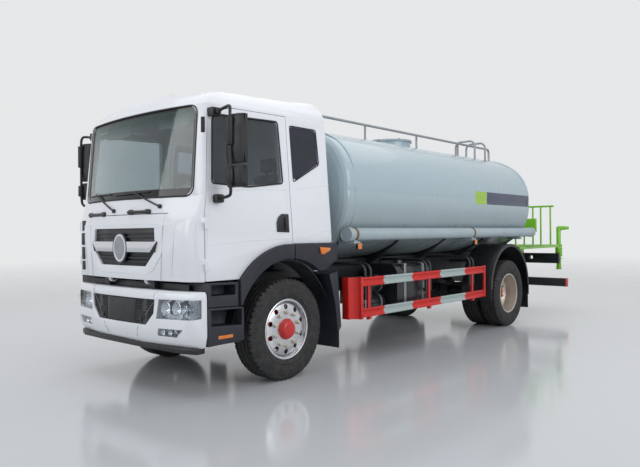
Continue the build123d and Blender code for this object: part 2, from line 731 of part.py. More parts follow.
with BuildPart() as tyres_rear_right:
    for x in (-DUAL_INNER_X, -DUAL_OUTER_X):
        add(turned(TYRE_PROFILE, x, WHEELBASE, HUB_Z))

# Rim profiles, as (outwards, radius) from the middle of the tyre. The front disc stands out, the rear one is deep.
BARREL = ((-112, 298), (-112, RIM_R), (-102, RIM_R), (102, RIM_R), (112, RIM_R), (112, 298), (118, 298), (118, 278))
FRONT_RIM = (
    *BARREL,
    (112, 274),
    (60, 268),
    (92, 250),
    (104, 190),
    (104, 80),
    (150, 76),
    (158, 60),
    (158, 0),
    (84, 0),
    (84, 36.5),
    (-30, 36.5),
    (-30, 75),
    (24, 80),
    (24, 190),
    (-66, 195),
    (-66, 212),
    (40, 212),
    (80, 200),
    (70, 244),
    (40, 256),
    (-100, 268),
    (-118, 276),
    (-118, 298),
)
DUAL_MID_X = (DUAL_OUTER_X + DUAL_INNER_X) / 2
VENT_RING = 222
VENT_R = 26
VENTS = 10


def front_rim():
    with BuildPart() as rim:
        add(turned(FRONT_RIM, FRONT_TYRE_X, 0, HUB_Z))
        with BuildSketch(Plane(origin=(FRONT_TYRE_X + 45, 0, HUB_Z), z_dir=(1, 0, 0))):
            with PolarLocations(VENT_RING, VENTS):
                Circle(VENT_R)
        extrude(amount=80, mode=Mode.SUBTRACT)
    return rim.part


def rear_rims():
    """Both rims of a rear pair, bolted face to face, with the hub and drum between them."""
    outer = (
        (3, 204),
        (52, 256),
        (56, 268),
        (38, 278),
        (38, 298),
        (44, 298),
        (50, RIM_R),
        (262, RIM_R),
        (268, 298),
        (274, 298),
        (274, 278),
        (96, 266),
        (66, 246),
        (16, 196),
        (16, 112),
        (120, 106),
        (134, 86),
        (134, 0),
    )
    inner = (
        (-70, 0),
        (-70, 41.5),
        (-200, 41.5),
        (-200, 80),
        (-30, 80),
        (-30, 176),
        (-190, 176),
        (-190, 192),
        (-16, 192),
        (-66, 246),
        (-96, 266),
        (-274, 278),
        (-274, 298),
        (-268, 298),
        (-262, RIM_R),
        (-50, RIM_R),
        (-44, 298),
        (-38, 298),
        (-38, 278),
        (-56, 268),
        (-52, 256),
        (-3, 204),
    )
    with BuildPart() as rims:
        add(turned((*outer, *inner), DUAL_MID_X, WHEELBASE, HUB_Z))
        with BuildSketch(Plane(origin=(DUAL_MID_X - 70, WHEELBASE, HUB_Z), z_dir=(1, 0, 0))):
            with PolarLocations(VENT_RING, VENTS):
                Circle(VENT_R)
        extrude(amount=140, mode=Mode.SUBTRACT)
    return rims.part


with BuildPart() as rim_front_left:
    add(front_rim())

with BuildPart() as rim_front_right:
    mirror(rim_front_left.part, about=Plane.YZ)

with BuildPart() as rims_rear_left:
    add(rear_rims())

with BuildPart() as rims_rear_right:
    mirror(rims_rear_left.part, about=Plane.YZ)

# Tank ------------------------------------------------------------------------------------------------------------
with BuildPart() as tank:
    add(tank_body(TANK_Y))
    add(tank_head(TANK_Y[0], -1))
    add(tank_head(TANK_Y[1], 1))
    add(bar((0, MANHOLE_Y, TANK_Z + 700), (0, MANHOLE_Y, LID_Z[0] - 2), MANHOLE_R))
    for ear in both_sides((66, 90)):
        block(ear, (LID_HINGE_Y - 80, LID_HINGE_Y + 22), (LID_Z[0] - 60, LID_Z[1] + 6))
    add(bar((-80, LID_HINGE_Y, LID_HINGE_Z), (80, LID_HINGE_Y, LID_HINGE_Z), 8))

with BuildPart() as manhole_lid:
    add(bar((0, MANHOLE_Y, LID_Z[0]), (0, MANHOLE_Y, LID_Z[1]), MANHOLE_R + 20))
    for ear in both_sides((60, 96)):
        block(ear, (MANHOLE_Y + 200, LID_HINGE_Y), (LID_Z[0] - 1, LID_Z[1] + 1), mode=Mode.SUBTRACT)
    block((-60, 60), (MANHOLE_Y + 200, LID_HINGE_Y + 16), LID_Z)
    block((-50, 50), (MANHOLE_Y - MANHOLE_R - 70, MANHOLE_Y - MANHOLE_R), (LID_Z[0] + 4, LID_Z[1] - 4))
    add(bar((-61, LID_HINGE_Y, LID_HINGE_Z), (61, LID_HINGE_Y, LID_HINGE_Z), 8.5), mode=Mode.SUBTRACT)

TUBE_Y = (905, 5790)
STRAP_Y = (1010, 3700, 5300)
with BuildPart() as tube_left:
    add(bar((TUBE_X, TUBE_Y[0], TUBE_Z), (TUBE_X, TUBE_Y[1], TUBE_Z), TUBE_R))
    for end in ((TUBE_Y[0] - 8, TUBE_Y[0] + 60), (TUBE_Y[1] - 60, TUBE_Y[1] + 8)):
        add(bar((TUBE_X, end[0], TUBE_Z), (TUBE_X, end[1], TUBE_Z), TUBE_R + 6))
    for y in STRAP_Y:
        block((900, TUBE_X + 40), (y - 30, y + 30), (TUBE_Z - 110, TUBE_Z - 60))
    add(tank_room, mode=Mode.SUBTRACT)

with BuildPart() as storage_tubes:
    add(tube_left.part)
    mirror(tube_left.part, about=Plane.YZ)

RAIL_TOP_X = 450
RAIL_TOP_Z = 2850
RAIL_POSTS = (2080, 3300, 4500)
with BuildPart() as top_rail_left:
    add(
        bent_tube(
            [
                (RAIL_TOP_X, 980, 2600),
                (RAIL_TOP_X, 980, RAIL_TOP_Z),
                (RAIL_TOP_X, 5560, RAIL_TOP_Z),
                (RAIL_TOP_X, 5560, 2600),
            ],
            60,
            17,
        )
    )
    for y in RAIL_POSTS:
        add(bar((RAIL_TOP_X, y, 2600), (RAIL_TOP_X, y, RAIL_TOP_Z), 14))
    add(tank_room, mode=Mode.SUBTRACT)

with BuildPart() as top_rails:
    add(top_rail_left.part)
    mirror(top_rail_left.part, about=Plane.YZ)

HOOPS = (4700, 5050)
with BuildPart() as ladder_hoops:
    for y in HOOPS:
        loop = [(300, y, 2620), (300, y, 2900), (640, y, 2900), (640, y, 2560)]
        add(bent_tube(loop, 90, 16))
    add(tank_room, mode=Mode.SUBTRACT)

# Equipment between the axles --------------------------------------------------------------------------------------
with BuildPart() as fuel_tank:
    with BuildSketch(Plane.XZ.offset(-1911)):
        with Locations((800, 780)):
            RectangleRounded(500, 560, 130)
    extrude(amount=-746)
    add(bar((900, 2150, 1040), (900, 2150, 1095), 50))
    for y in (2050, 2500):
        block((RAIL_X, 560), (y - 40, y + 40), (820, 900))

with BuildPart() as air_tanks:
    for z in (600, 820):
        add(bar((800, 1400, z), (800, 1860, z), 105))
    block((RAIL_X, 720), (1560, 1680), (570, 900))

with BuildPart() as battery_box:
    block((-1050, -470), (1120, 1800), (560, 960))
    block((-470, -RAIL_X), (1200, 1700), (820, 960))

with BuildPart() as muffler:
    add(bar((-800, 1950, 740), (-800, 2800, 740), 170))
    for y in (2150, 2600):
        block((-720, -RAIL_X), (y - 50, y + 50), (820, 900))

# Side guards, carried by bent tubes that ride over the equipment ---------------------------------------------------
GUARD_Y = (1042, 3991)
GUARD_RAILS = ((505, 605), (850, 950))
GUARD_POSTS = (1221, 2489, 3632)
RIB = ((-22, 0), (-2, 0), (-2, 22), (-14, 36), (-14, 64), (-2, 78), (-2, 100), (-22, 100))
RETURN_R = 100
with BuildPart() as guard_left:
    for low, high in GUARD_RAILS:
        add(front_prism([(GUARD_X + x, low + z) for x, z in RIB], GUARD_Y))
    for y in GUARD_POSTS:
        block((GUARD_X - 50, GUARD_X - 22), (y - 22, y + 22), (470, 950))
    block((GUARD_X - 22, GUARD_X - 2), (GUARD_Y[1] - 50, GUARD_Y[1]), (505, 955))
    with BuildSketch(Plane.XY.offset(490)):
        with BuildLine():
            corner = (GUARD_X - RETURN_R, GUARD_Y[0])
            RadiusArc((GUARD_X, GUARD_Y[0]), (corner[0], corner[1] - RETURN_R), -RETURN_R)
            Line((corner[0], corner[1] - RETURN_R), (980, corner[1] - RETURN_R))
            Line((980, corner[1] - RETURN_R), (980, corner[1] - RETURN_R + 12))
            Line((980, corner[1] - RETURN_R + 12), (corner[0], corner[1] - RETURN_R + 12))
            RadiusArc((corner[0], corner[1] - RETURN_R + 12), (GUARD_X - 12, GUARD_Y[0]), RETURN_R - 12)
            Line((GUARD_X - 12, GUARD_Y[0]), (GUARD_X - 12, GUARD_Y[0] + 40))
            Line((GUARD_X - 12, GUARD_Y[0] + 40), (GUARD_X, GUARD_Y[0] + 40))
            Line((GUARD_X, GUARD_Y[0] + 40), (GUARD_X, GUARD_Y[0]))
        make_face()
    extrude(amount=465)

with BuildPart() as side_guards:
    add(guard_left.part)
    mirror(guard_left.part, about=Plane.YZ)

HOOP_X = 1134
with BuildPart() as hoops_left:
    for y in GUARD_POSTS:
        for step in (-50, 50):
            route = [(RAIL_X + 5, y + step, 1090), (HOOP_X - 6, y + step, 1090), (HOOP_X - 6, y + step, 700)]
            add(bent_tube(route, 90, 17))
        block((RAIL_X, RAIL_X + 16), (y - 90, y + 90), (1035, 1118))
        block((HOOP_X - 30, GUARD_X - 50), (y - 80, y + 80), (690, 740))

with BuildPart() as guard_hoops:
    add(hoops_left.part)
    mirror(hoops_left.part, about=Plane.YZ)

# Rear fenders, platform, beam and underrun bar -----------------------------------------------------------------------
FENDER_R = (648, 662)
FENDER_LIP_R = 618
FENDER_CENTRE = (WHEELBASE + 30, 592)
FENDER_X = (745, 1215)
with BuildPart() as fender_left:
    with BuildSketch(Plane.YZ.offset(FENDER_X[0])):
        with Locations(FENDER_CENTRE):
            Circle(FENDER_R[1])
            Circle(FENDER_R[0], mode=Mode.SUBTRACT)
    extrude(amount=FENDER_X[1] - FENDER_X[0])
    with BuildSketch(Plane.YZ.offset(FENDER_X[1] - 14)):
        with Locations(FENDER_CENTRE):
            Circle(FENDER_R[1])
            Circle(FENDER_LIP_R, mode=Mode.SUBTRACT)
    extrude(amount=14)
    block((700, 1300), (3900, 5500), (-200, FENDER_CENTRE[1]), mode=Mode.SUBTRACT)
    for low, high in ((-FENDER_R[1], -FENDER_R[0]), (FENDER_R[0], FENDER_R[1])):
        block(FENDER_X, (FENDER_CENTRE[0] + low, FENDER_CENTRE[0] + high), (430, FENDER_CENTRE[1]))
    block((760, 1200), (FENDER_CENTRE[0] + FENDER_R[0], FENDER_CENTRE[0] + FENDER_R[1]), (215, 430))
    for y in (-480, 480):
        block((RAIL_X, 900), (FENDER_CENTRE[0] + y - 20, FENDER_CENTRE[0] + y + 20), (985, 1028))
    add(tank_room, mode=Mode.SUBTRACT)

with BuildPart() as rear_fenders:
    add(fender_left.part)
    mirror(fender_left.part, about=Plane.YZ)

DECK_Y = (5700, 7040)
DECK_Z = (1150, 1195)
RAILING_Z = 1900
RAILING_X = (280, 450, 620, 770, 950)
DECK_WING = (700, 1080)
RAILING_Y = (6970, 7010)
RAILING_POST_R = 15
RAILING_BAR = (RAILING_Z - 16, RAILING_Z + 16)
deck_parts = []
for x, y, z in (
    ((-1080, 1080), DECK_Y, DECK_Z),
    ((-1010, 1010), RAILING_Y, RAILING_BAR),
    ((430, 700), (6900, 6990 - RAILING_POST_R), (1430, 1680)),
    (DECK_WING, (5370, DECK_Y[0]), DECK_Z),
    ((-DECK_WING[1], -DECK_WING[0]), (5370, DECK_Y[0]), DECK_Z),
    ((360, RAIL_X), (DECK_Y[0] + 20, DECK_Y[1] - 20), (RAIL_Z[1], DECK_Z[0])),
    ((-RAIL_X, -360), (DECK_Y[0] + 20, DECK_Y[1] - 20), (RAIL_Z[1], DECK_Z[0])),
):
    with BuildPart() as member:
        block(x, y, z)
    deck_parts.append(member.part)
for x in RAILING_X:
    for side in (-x, x):
        deck_parts.append(bar((side, 6990, DECK_Z[1]), (side, 6990, RAILING_BAR[0]), RAILING_POST_R))
platform = group(*deck_parts)

BEAM_Y = (7080, 7150)
with BuildPart() as rear_beam:
    block((-1060, 1060), BEAM_Y, (850, 1035))
    for side in both_sides((RAIL_X - FLANGE, RAIL_X)):
        block(side, (RAIL_Y[1], BEAM_Y[0]), (850, 1035))
    for x in (-540, 540):
        add(bar((x, BEAM_Y[0] - 10, 955), (x, BEAM_Y[1] + 10, 955), 36), mode=Mode.SUBTRACT)

PIPE_X = 1005
PIPE_Y = 7235
with BuildPart() as pipe_left:
    add(bar((PIPE_X, PIPE_Y, 735), (PIPE_X, PIPE_Y, 1520), 40))
    add(bar((PIPE_X, PIPE_Y, 1500), (PIPE_X + 85, PIPE_Y + 70, 1500), 38))
    add(bar((PIPE_X + 85, PIPE_Y + 70, 1500), (PIPE_X + 140, PIPE_Y + 115, 1500), 30))
    add(bar((PIPE_X, PIPE_Y, 990), (PIPE_X, PIPE_Y, 1180), 58))
    block((PIPE_X - 12, PIPE_X + 12), (PIPE_Y, TAIL), (980, 1004))
    block((PIPE_X - 30, PIPE_X + 30), (BEAM_Y[1], PIPE_Y - 20), (900, 960))

with BuildPart() as spray_pipes:
    add(pipe_left.part)
    mirror(pipe_left.part, about=Plane.YZ)

with BuildPart() as underrun_bar:
    block((-1180, 1180), (UNDERRUN_Y - 100, UNDERRUN_Y), (429, 576))
    for side in both_sides((RAIL_X - 50, RAIL_X - 30)):
        block(side, (UNDERRUN_Y - 220, UNDERRUN_Y - 100), (429, RAIL_Z[0]))

# Right-hand pieces that ride on the other door -------------------------------------------------------------------------
with BuildPart() as door_right:
    mirror(door_left.part, about=Plane.YZ)

with BuildPart() as door_glass_right:
    mirror(door_glass_left.part, about=Plane.YZ)

with BuildPart() as door_flare_right:
    mirror(door_flare_left.part, about=Plane.YZ)

mirror_right = mirror_left.mirror(Plane.YZ)

PIECES = {
    "cab_front": cab_front,
    "cab_roof": cab_roof,
    "cab_rear": cab_rear,
    "cab_pillars": cab_pillars,
    "cab_sides": cab_sides,
    "cab_floor": cab_floor,
    "cab_flares": cab_flares,
    "windscreen": windscreen,
    "quarter_glass": quarter_glass,
    "grille": grille,
    "dashboard": dashboard,
    "seats": seats,
    "steering_wheel": steering_wheel,
    "door_left": door_left,
    "door_right": door_right,
    "door_glass_left": door_glass_left,
    "door_glass_right": door_glass_right,
    "door_flare_left": door_flare_left,
    "door_flare_right": door_flare_right,
    "mirror_left": mirror_left,
    "mirror_right": mirror_right,
    "bumper": bumper,
    "bumper_mesh": bumper_mesh,
    "lamps": lamps,
    "step_fairings": step_fairings,
    "steps": steps,
    "front_mudguards": front_mudguards,
    "frame": frame,
    "engine": engine,
    "propshaft": propshaft,
    "springs": springs,
    "front_axle": front_axle,
    "knuckle_left": knuckle_left,
    "knuckle_right": knuckle_right,
    "tie_rod": tie_rod,
    "rear_axle": rear_axle,
    "tyre_front_left": tyre_front_left,
    "tyre_front_right": tyre_front_right,
    "tyres_rear_left": tyres_rear_left,
    "tyres_rear_right": tyres_rear_right,
    "rim_front_left": rim_front_left,
    "rim_front_right": rim_front_right,
    "rims_rear_left": rims_rear_left,
    "rims_rear_right": rims_rear_right,
    "tank": tank,
    "manhole_lid": manhole_lid,
    "storage_tubes": storage_tubes,
    "top_rails": top_rails,
    "ladder_hoops": ladder_hoops,
    "fuel_tank": fuel_tank,
    "air_tanks": air_tanks,
    "battery_box": battery_box,
    "muffler": muffler,
    "side_guards": side_guards,
    "guard_hoops": guard_hoops,
    "rear_fenders": rear_fenders,
    "platform": platform,
    "rear_beam": rear_beam,
    "spray_pipes": spray_pipes,
    "underrun_bar": underrun_bar,
}
for name, piece in PIECES.items():
    save(piece, name)
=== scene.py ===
# %% [markdown]
# # A two-axle tanker truck
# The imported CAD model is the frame: it holds every panel, wheel and tube at its real size. This lesson
# dresses it. Each step takes one piece of the truck, says what the real one is, and models or finishes it.

# %% Load the frame
import json
import math

import bpy
from mathutils import Matrix, Vector
from mathutils.bvhtree import BVHTree


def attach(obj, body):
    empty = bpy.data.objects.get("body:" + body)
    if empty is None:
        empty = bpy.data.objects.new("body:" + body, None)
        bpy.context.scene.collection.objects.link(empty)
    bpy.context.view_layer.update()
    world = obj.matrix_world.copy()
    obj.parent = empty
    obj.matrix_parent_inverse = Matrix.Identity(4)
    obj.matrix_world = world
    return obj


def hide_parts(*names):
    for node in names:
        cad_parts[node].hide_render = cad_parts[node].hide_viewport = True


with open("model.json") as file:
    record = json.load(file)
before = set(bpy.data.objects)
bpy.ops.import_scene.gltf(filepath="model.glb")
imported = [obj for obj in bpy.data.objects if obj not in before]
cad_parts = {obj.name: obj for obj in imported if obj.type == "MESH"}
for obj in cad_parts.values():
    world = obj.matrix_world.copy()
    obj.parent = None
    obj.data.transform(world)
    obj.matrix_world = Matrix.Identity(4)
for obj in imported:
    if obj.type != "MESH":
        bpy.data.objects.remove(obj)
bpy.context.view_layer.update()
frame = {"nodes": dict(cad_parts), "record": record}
NODES = frame["nodes"]

# %% [markdown]
# ## Places and small helpers
# A truck is drawn from its front axle, so every table below is in millimetres: X to the left of the
# middle, Y rearwards from the front axle and Z up from the ground. `place` turns such a point into metres.

# %% Places
MM = 0.001
AXLE_Y = -3.090
WHEELBASE = 4700
SIDES = {"left": 1, "right": -1}


def place(x, y, z):
    return Vector((x * MM, y * MM + AXLE_Y, z * MM))


def stations(low, high):
    """Two stations along the truck, as Y in metres."""
    return low * MM + AXLE_Y, high * MM + AXLE_Y


print("rear axle", WHEELBASE, "mm behind the front one")

# %% [markdown]
# Operators act on all that is selected, so `take` clears the selection first. `finish` settles a piece at
# the origin, shades it and lets it ride on a body of the frame.

# %% Selecting, shaping and finishing
def take(piece):
    """Makes piece the only selected object, in object mode."""
    if bpy.context.mode != "OBJECT":
        bpy.ops.object.mode_set(mode="OBJECT")
    bpy.ops.object.select_all(action="DESELECT")
    piece.select_set(True)
    bpy.context.view_layer.objects.active = piece


def modify(piece, kind, **settings):
    """Adds one modifier, sets it and applies it."""
    take(piece)
    bpy.ops.object.modifier_add(type=kind)
    added = piece.modifiers[-1]
    for name, value in settings.items():
        setattr(added, name, value)
    bpy.ops.object.modifier_apply(modifier=added.name)


def edit(piece, *steps):
    """Runs mesh operators on the whole of piece, each as (operator, settings)."""
    take(piece)
    bpy.ops.object.mode_set(mode="EDIT")
    bpy.ops.mesh.select_all(action="SELECT")
    for operator, settings in steps:
        operator(**settings)
    bpy.ops.object.mode_set(mode="OBJECT")


def settle(piece):
    """Puts the object at the origin, unturned and unscaled, with its place in its mesh."""
    take(piece)
    bpy.ops.object.transform_apply(location=True, rotation=True, scale=True)


def joined(pieces):
    """Joins several meshes into the first of them."""
    take(pieces[0])
    for piece in pieces[1:]:
        piece.select_set(True)
    if len(pieces) > 1:
        bpy.ops.object.join()
    return bpy.context.active_object


def whole(piece):
    """The piece itself, or a list of parts joined into one."""
    return joined(piece) if isinstance(piece, list) else piece


def finish(piece, name, body, material, smooth=32):
    """Names a piece or a list of parts, shades it, and lets it ride on a body."""
    piece = whole(piece)
    settle(piece)
    bpy.ops.object.shade_smooth_by_angle(angle=math.radians(smooth))
    piece.name = name
    piece.data.name = name
    piece.data.materials.clear()
    piece.data.materials.append(material)
    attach(piece, body)


def twin(piece):
    """A copy of piece, with its own mesh."""
    take(piece)
    bpy.ops.object.duplicate()
    return bpy.context.active_object


def reflected(piece):
    """A copy of piece on the other side of the truck."""
    settle(piece)
    other = twin(piece)
    other.scale.x = -1
    settle(other)
    edit(other, (bpy.ops.mesh.normals_make_consistent, {"inside": False}))
    return other


def pair(piece, name, body, material, smooth=32, replaced=()):
    """Finishes a left piece and its reflection, on one body or on a body a side, for some nodes a side."""
    piece = whole(piece)
    other = reflected(piece)
    for side, made in (("left", piece), ("right", other)):
        finish(made, f"{name}_{side}", body.format(side=side), material, smooth)
        for node in replaced:
            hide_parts(f"{node}_{side}")


# %% [markdown]
# A few starting shapes come again and again: a slab of plate, a round rod, a bent tube, a flat outline given
# a thickness, and a turned section. The bead and the tube share one curve.

# %% Starting shapes
def slab(x, y, z, bevel=0, segments=2):
    """A box between pairs of limits, with rounded edges."""
    middle = place(*[(low + high) / 2 for low, high in (x, y, z)])
    bpy.ops.mesh.primitive_cube_add(size=1, location=middle)
    piece = bpy.context.active_object
    piece.scale = [(high - low) * MM for low, high in (x, y, z)]
    settle(piece)
    if bevel:
        modify(piece, "BEVEL", width=bevel * MM, segments=segments, limit_method="ANGLE")
    return piece


def rod(start, end, radius, sides, bevel=0):
    """A round bar between two points, with its end edges bevelled."""
    start, end = place(*start), place(*end)
    axis = end - start
    bpy.ops.mesh.primitive_cylinder_add(vertices=sides, radius=radius * MM, depth=axis.length)
    piece = bpy.context.active_object
    turn = axis.to_track_quat("Z", "Y").to_matrix().to_4x4()
    piece.matrix_world = Matrix.Translation((start + end) / 2) @ turn
    settle(piece)
    if bevel:
        modify(piece, "BEVEL", width=bevel * MM, segments=2, limit_method="ANGLE", angle_limit=math.radians(50))
    return piece


def swept(points, radius, ring, kind, closed=False):
    """A round bar along a curve between points, made a mesh."""
    bpy.ops.curve.primitive_nurbs_path_add()
    path = bpy.context.active_object
    path.data.splines.clear()
    spline = path.data.splines.new(kind)
    spline.points.add(len(points) - 1)
    for point, at in zip(spline.points, points):
        point.co = (*place(*at), 1)
    if kind == "NURBS":
        spline.order_u = 3
        spline.use_endpoint_u = True
    spline.use_cyclic_u = closed
    path.data.bevel_depth = radius * MM
    path.data.bevel_resolution = ring
    path.data.resolution_u = 6
    path.data.use_fill_caps = True
    take(path)
    bpy.ops.object.convert(target="MESH")
    return bpy.context.active_object


def tube(points, radius):
    """A round tube along a smooth line through a few control points."""
    return swept(points, radius, 3, "NURBS")


def line(points, radius, closed=False, sides=2):
    """A thin round bead along straight pieces between many points."""
    return swept(points, radius, sides, "POLY", closed)


def outline(points, bevel=0, segments=2, out=(0, 0, 0)):
    """A flat outline of points, extruded by the vector out, with rounded edges."""
    bpy.ops.mesh.primitive_circle_add(vertices=len(points), radius=1, fill_type="NGON")
    piece = bpy.context.active_object
    for vertex, at in zip(piece.data.vertices, points):
        vertex.co = place(*at)
    edit(
        piece,
        (bpy.ops.mesh.extrude_region_move, {"TRANSFORM_OT_translate": {"value": [v * MM for v in out]}}),
        (bpy.ops.mesh.select_all, {"action": "SELECT"}),
        (bpy.ops.mesh.normals_make_consistent, {"inside": False}),
    )
    if bevel:
        modify(piece, "BEVEL", width=bevel * MM, segments=segments, limit_method="ANGLE")
    return piece


def turned(profile, centre, axis, steps):
    """A closed profile of (along, radius) pairs, spun about an axis through centre."""
    axis = Vector(axis)
    across = axis.orthogonal().normalized()
    bpy.ops.mesh.primitive_circle_add(vertices=len(profile), radius=1, fill_type="NOTHING")
    piece = bpy.context.active_object
    for vertex, (along, radius) in zip(piece.data.vertices, profile):
        vertex.co = place(*centre) + (axis * along + across * radius) * MM
    edit(
        piece,
        (bpy.ops.mesh.spin, {"steps": steps, "angle": 2 * math.pi, "center": place(*centre), "axis": axis}),
        (bpy.ops.mesh.select_all, {"action": "SELECT"}),
        (bpy.ops.mesh.remove_doubles, {"threshold": 1e-5}),
        (bpy.ops.mesh.normals_make_consistent, {"inside": False}),
    )
    return piece


def hoop(low, high, inner, outer, centre, axis=(0, 1, 0), steps=40):
    """A flat band from low to high along its axis, between two radii."""
    return turned([(low, inner), (low, outer), (high, outer), (high, inner)], centre, axis, steps)


# %% [markdown]
# ## Finishes
# Paint, rubber and cast metal are never one flat colour. Each finish below drifts a little in colour and
# roughness over the piece, with a fine bump for its grain. The patterns are tied to the truck's own
# coordinates, so neighbouring panels match where they meet.


def tone(red, green, blue):
    """A screen colour, 0 to 255 a channel, as linear light."""
    channels = [c / 255 for c in (red, green, blue)]
    return (*[c / 12.92 if c <= 0.04045 else ((c + 0.055) / 1.055) ** 2.4 for c in channels], 1)


class Finish:
    """A material under construction, with short ways to add and link its nodes."""

    def __init__(self, name, slot, roughness=0.5, metallic=0.0):
        self.material = bpy.data.materials.new(name)
        self.material.use_nodes = True
        self.tree = self.material.node_tree
        self.shader = self.tree.nodes["Principled BSDF"]
        self.shader.inputs["Metallic"].default_value = metallic
        self.shader.inputs["Roughness"].default_value = roughness
        self.where = self.add("ShaderNodeTexCoord").outputs["Object"]

    def add(self, kind, inputs=(), **settings):
        node = self.tree.nodes.new(kind)
        for name, value in settings.items():
            setattr(node, name, value)
        for name, value in dict(inputs).items():
            if isinstance(value, bpy.types.NodeSocket):
                self.tree.links.new(value, node.inputs[name])
            else:
                node.inputs[name].default_value = value
        return node

    def link(self, output, name):
        self.tree.links.new(output, self.shader.inputs[name])

    def noise(self, scale, detail=3.0):
        settings = {"Vector": self.where, "Scale": scale, "Detail": detail}
        return self.add("ShaderNodeTexNoise", settings).outputs["Fac"]

    def spread(self, value, low, high, start=0.3, end=0.7):
        """Maps value, running from start to end, onto low to high."""
        limits = {"From Min": start, "From Max": end, "To Min": low, "To Max": high}
        return self.add("ShaderNodeMapRange", {**limits, "Value": value}).outputs["Result"]

    def math(self, operation, first, second=0.0):
        return self.add("ShaderNodeMath", {0: first, 1: second}, operation=operation).outputs[0]

    def axes(self):
        split = self.add("ShaderNodeSeparateXYZ", {"Vector": self.where})
        return split.outputs["X"], split.outputs["Y"], split.outputs["Z"]

    def between(self, value, low, high, soft=0.001):
        """1 where value lies between low and high, else 0."""
        above = self.spread(value, 0, 1, low - soft, low + soft)
        below = self.spread(value, 1, 0, high - soft, high + soft)
        return self.math("MULTIPLY", above, below)

    def mixed(self, share, first, second):
        node = self.add("ShaderNodeMix", data_type="RGBA")
        for socket, value in ((node.inputs[0], share), (node.inputs[6], first), (node.inputs[7], second)):
            if isinstance(value, bpy.types.NodeSocket):
                self.tree.links.new(value, socket)
            else:
                socket.default_value = value
        return node.outputs[2]

    def coloured(self, colour, drift, scale):
        """A colour that drifts slightly darker and lighter over the piece."""
        dark = (*[c * (1 - drift) for c in colour[:3]], 1)
        light = (*[min(c * (1 + drift), 0.92) for c in colour[:3]], 1)
        return self.mixed(self.spread(self.noise(scale), 0, 1), dark, light)

    def bumped(self, height, strength, distance):
        bump = self.add("ShaderNodeBump", {"Height": height, "Strength": strength, "Distance": distance})
        self.link(bump.outputs["Normal"], "Normal")


def surface(name, slot, colour, roughness, *, grain, bump, metallic=0.0, drift=0.06, scale=2.5, coat=0.0):
    """The common finish: drifting colour, drifting roughness and a fine grain."""
    made = Finish(name, slot, roughness, metallic)
    made.link(made.coloured(tone(*colour), drift, scale), "Base Color")
    made.link(made.spread(made.noise(scale * 3), roughness * 0.85, min(roughness * 1.15, 1)), "Roughness")
    made.bumped(made.noise(grain, 2.0), bump, 0.0006)
    made.shader.inputs["Coat Weight"].default_value = coat
    made.shader.inputs["Coat Roughness"].default_value = 0.08
    return made.material


# %% [markdown]
# Most pieces have a plain finish: a colour, how rough it is, and how coarse and deep its grain is.

# %% Plain finishes
WHITE_PAINT = surface(
    "white_paint", "cab_paint", (232, 234, 239), 0.34, drift=0.012, scale=0.9, grain=900, bump=0.02, coat=0.5
)
DARK_PLASTIC = surface("dark_plastic", "dark_trim", (31, 34, 43), 0.52, grain=1500, bump=0.16)
BLACK_PLASTIC = surface("black_plastic", "grille_black", (24, 25, 28), 0.42, grain=1500, bump=0.12)
SEAL_RUBBER = surface("seal_rubber", "dark_trim", (22, 22, 25), 0.62, grain=1800, bump=0.15)
CHROME = surface(
    "chrome", "grille_black", (214, 217, 222), 0.12, metallic=1.0, drift=0.03, grain=700, bump=0.02
)
CHASSIS_PAINT = surface(
    "chassis_paint", "chassis_black", (34, 36, 40), 0.46, drift=0.25, scale=5, grain=700, bump=0.12
)
CAST_IRON = surface(
    "cast_iron", "engine_iron", (58, 60, 64), 0.6, metallic=0.35, drift=0.25, scale=8, grain=350, bump=0.45
)
AXLE_STEEL = surface(
    "axle_paint", "axle_steel", (44, 45, 49), 0.55, metallic=0.3, drift=0.25, scale=7, grain=450, bump=0.3
)
POLISHED_RIM = surface(
    "polished_rim", "alloy_rim", (206, 207, 210), 0.30, metallic=1.0, drift=0.05, scale=9, grain=260, bump=0.03
)
SILVER_RIM = surface(
    "silver_rim", "steel_rim", (196, 190, 178), 0.42, metallic=0.55, drift=0.06, scale=7, grain=500, bump=0.05
)
RED_PAINT = surface(
    "red_paint", "guard_red", (196, 30, 26), 0.38, drift=0.08, scale=6, grain=800, bump=0.04, coat=0.3
)
NUT_STEEL = surface(
    "nut_steel", "alloy_rim", (204, 200, 190), 0.36, metallic=0.6, drift=0.1, scale=30, grain=900, bump=0.06
)
RAIL_STEEL = surface(
    "galvanised", "rail_steel", (150, 155, 160), 0.4, metallic=0.6, drift=0.1, scale=8, grain=700, bump=0.06
)
GREEN_PAINT = surface(
    "green_paint", "platform_green", (124, 196, 36), 0.42, drift=0.1, scale=5, grain=700, bump=0.06, coat=0.2
)
TANK_BLACK = surface(
    "gloss_black", "tank_black", (30, 32, 36), 0.36, drift=0.2, scale=6, grain=700, bump=0.06, coat=0.2
)
TUBE_PAINT = surface(
    "tube_paint", "tank_paint", (166, 180, 186), 0.42, drift=0.05, scale=4, grain=700, bump=0.05
)
DASH_PLASTIC = surface("dash_plastic", "interior", (62, 64, 70), 0.6, grain=1300, bump=0.25)
PALE_TRIM = surface("pale_trim", "interior", (150, 152, 156), 0.7, grain=1200, bump=0.25)
AMBER = surface("amber", "lamp_lens", (226, 122, 24), 0.22, drift=0.08, scale=40, grain=500, bump=0.1, coat=0.6)
RED_LENS = surface(
    "red_lens", "lamp_lens", (170, 16, 18), 0.22, drift=0.08, scale=40, grain=500, bump=0.1, coat=0.6
)
BRASS = surface(
    "brass", "tank_black", (150, 110, 70), 0.4, metallic=0.6, drift=0.12, scale=30, grain=900, bump=0.1
)

# %% [markdown]
# ### Tyre rubber
# Tyre rubber is nearly black with a brown-grey bloom, and its sidewall is a little smoother than its tread.

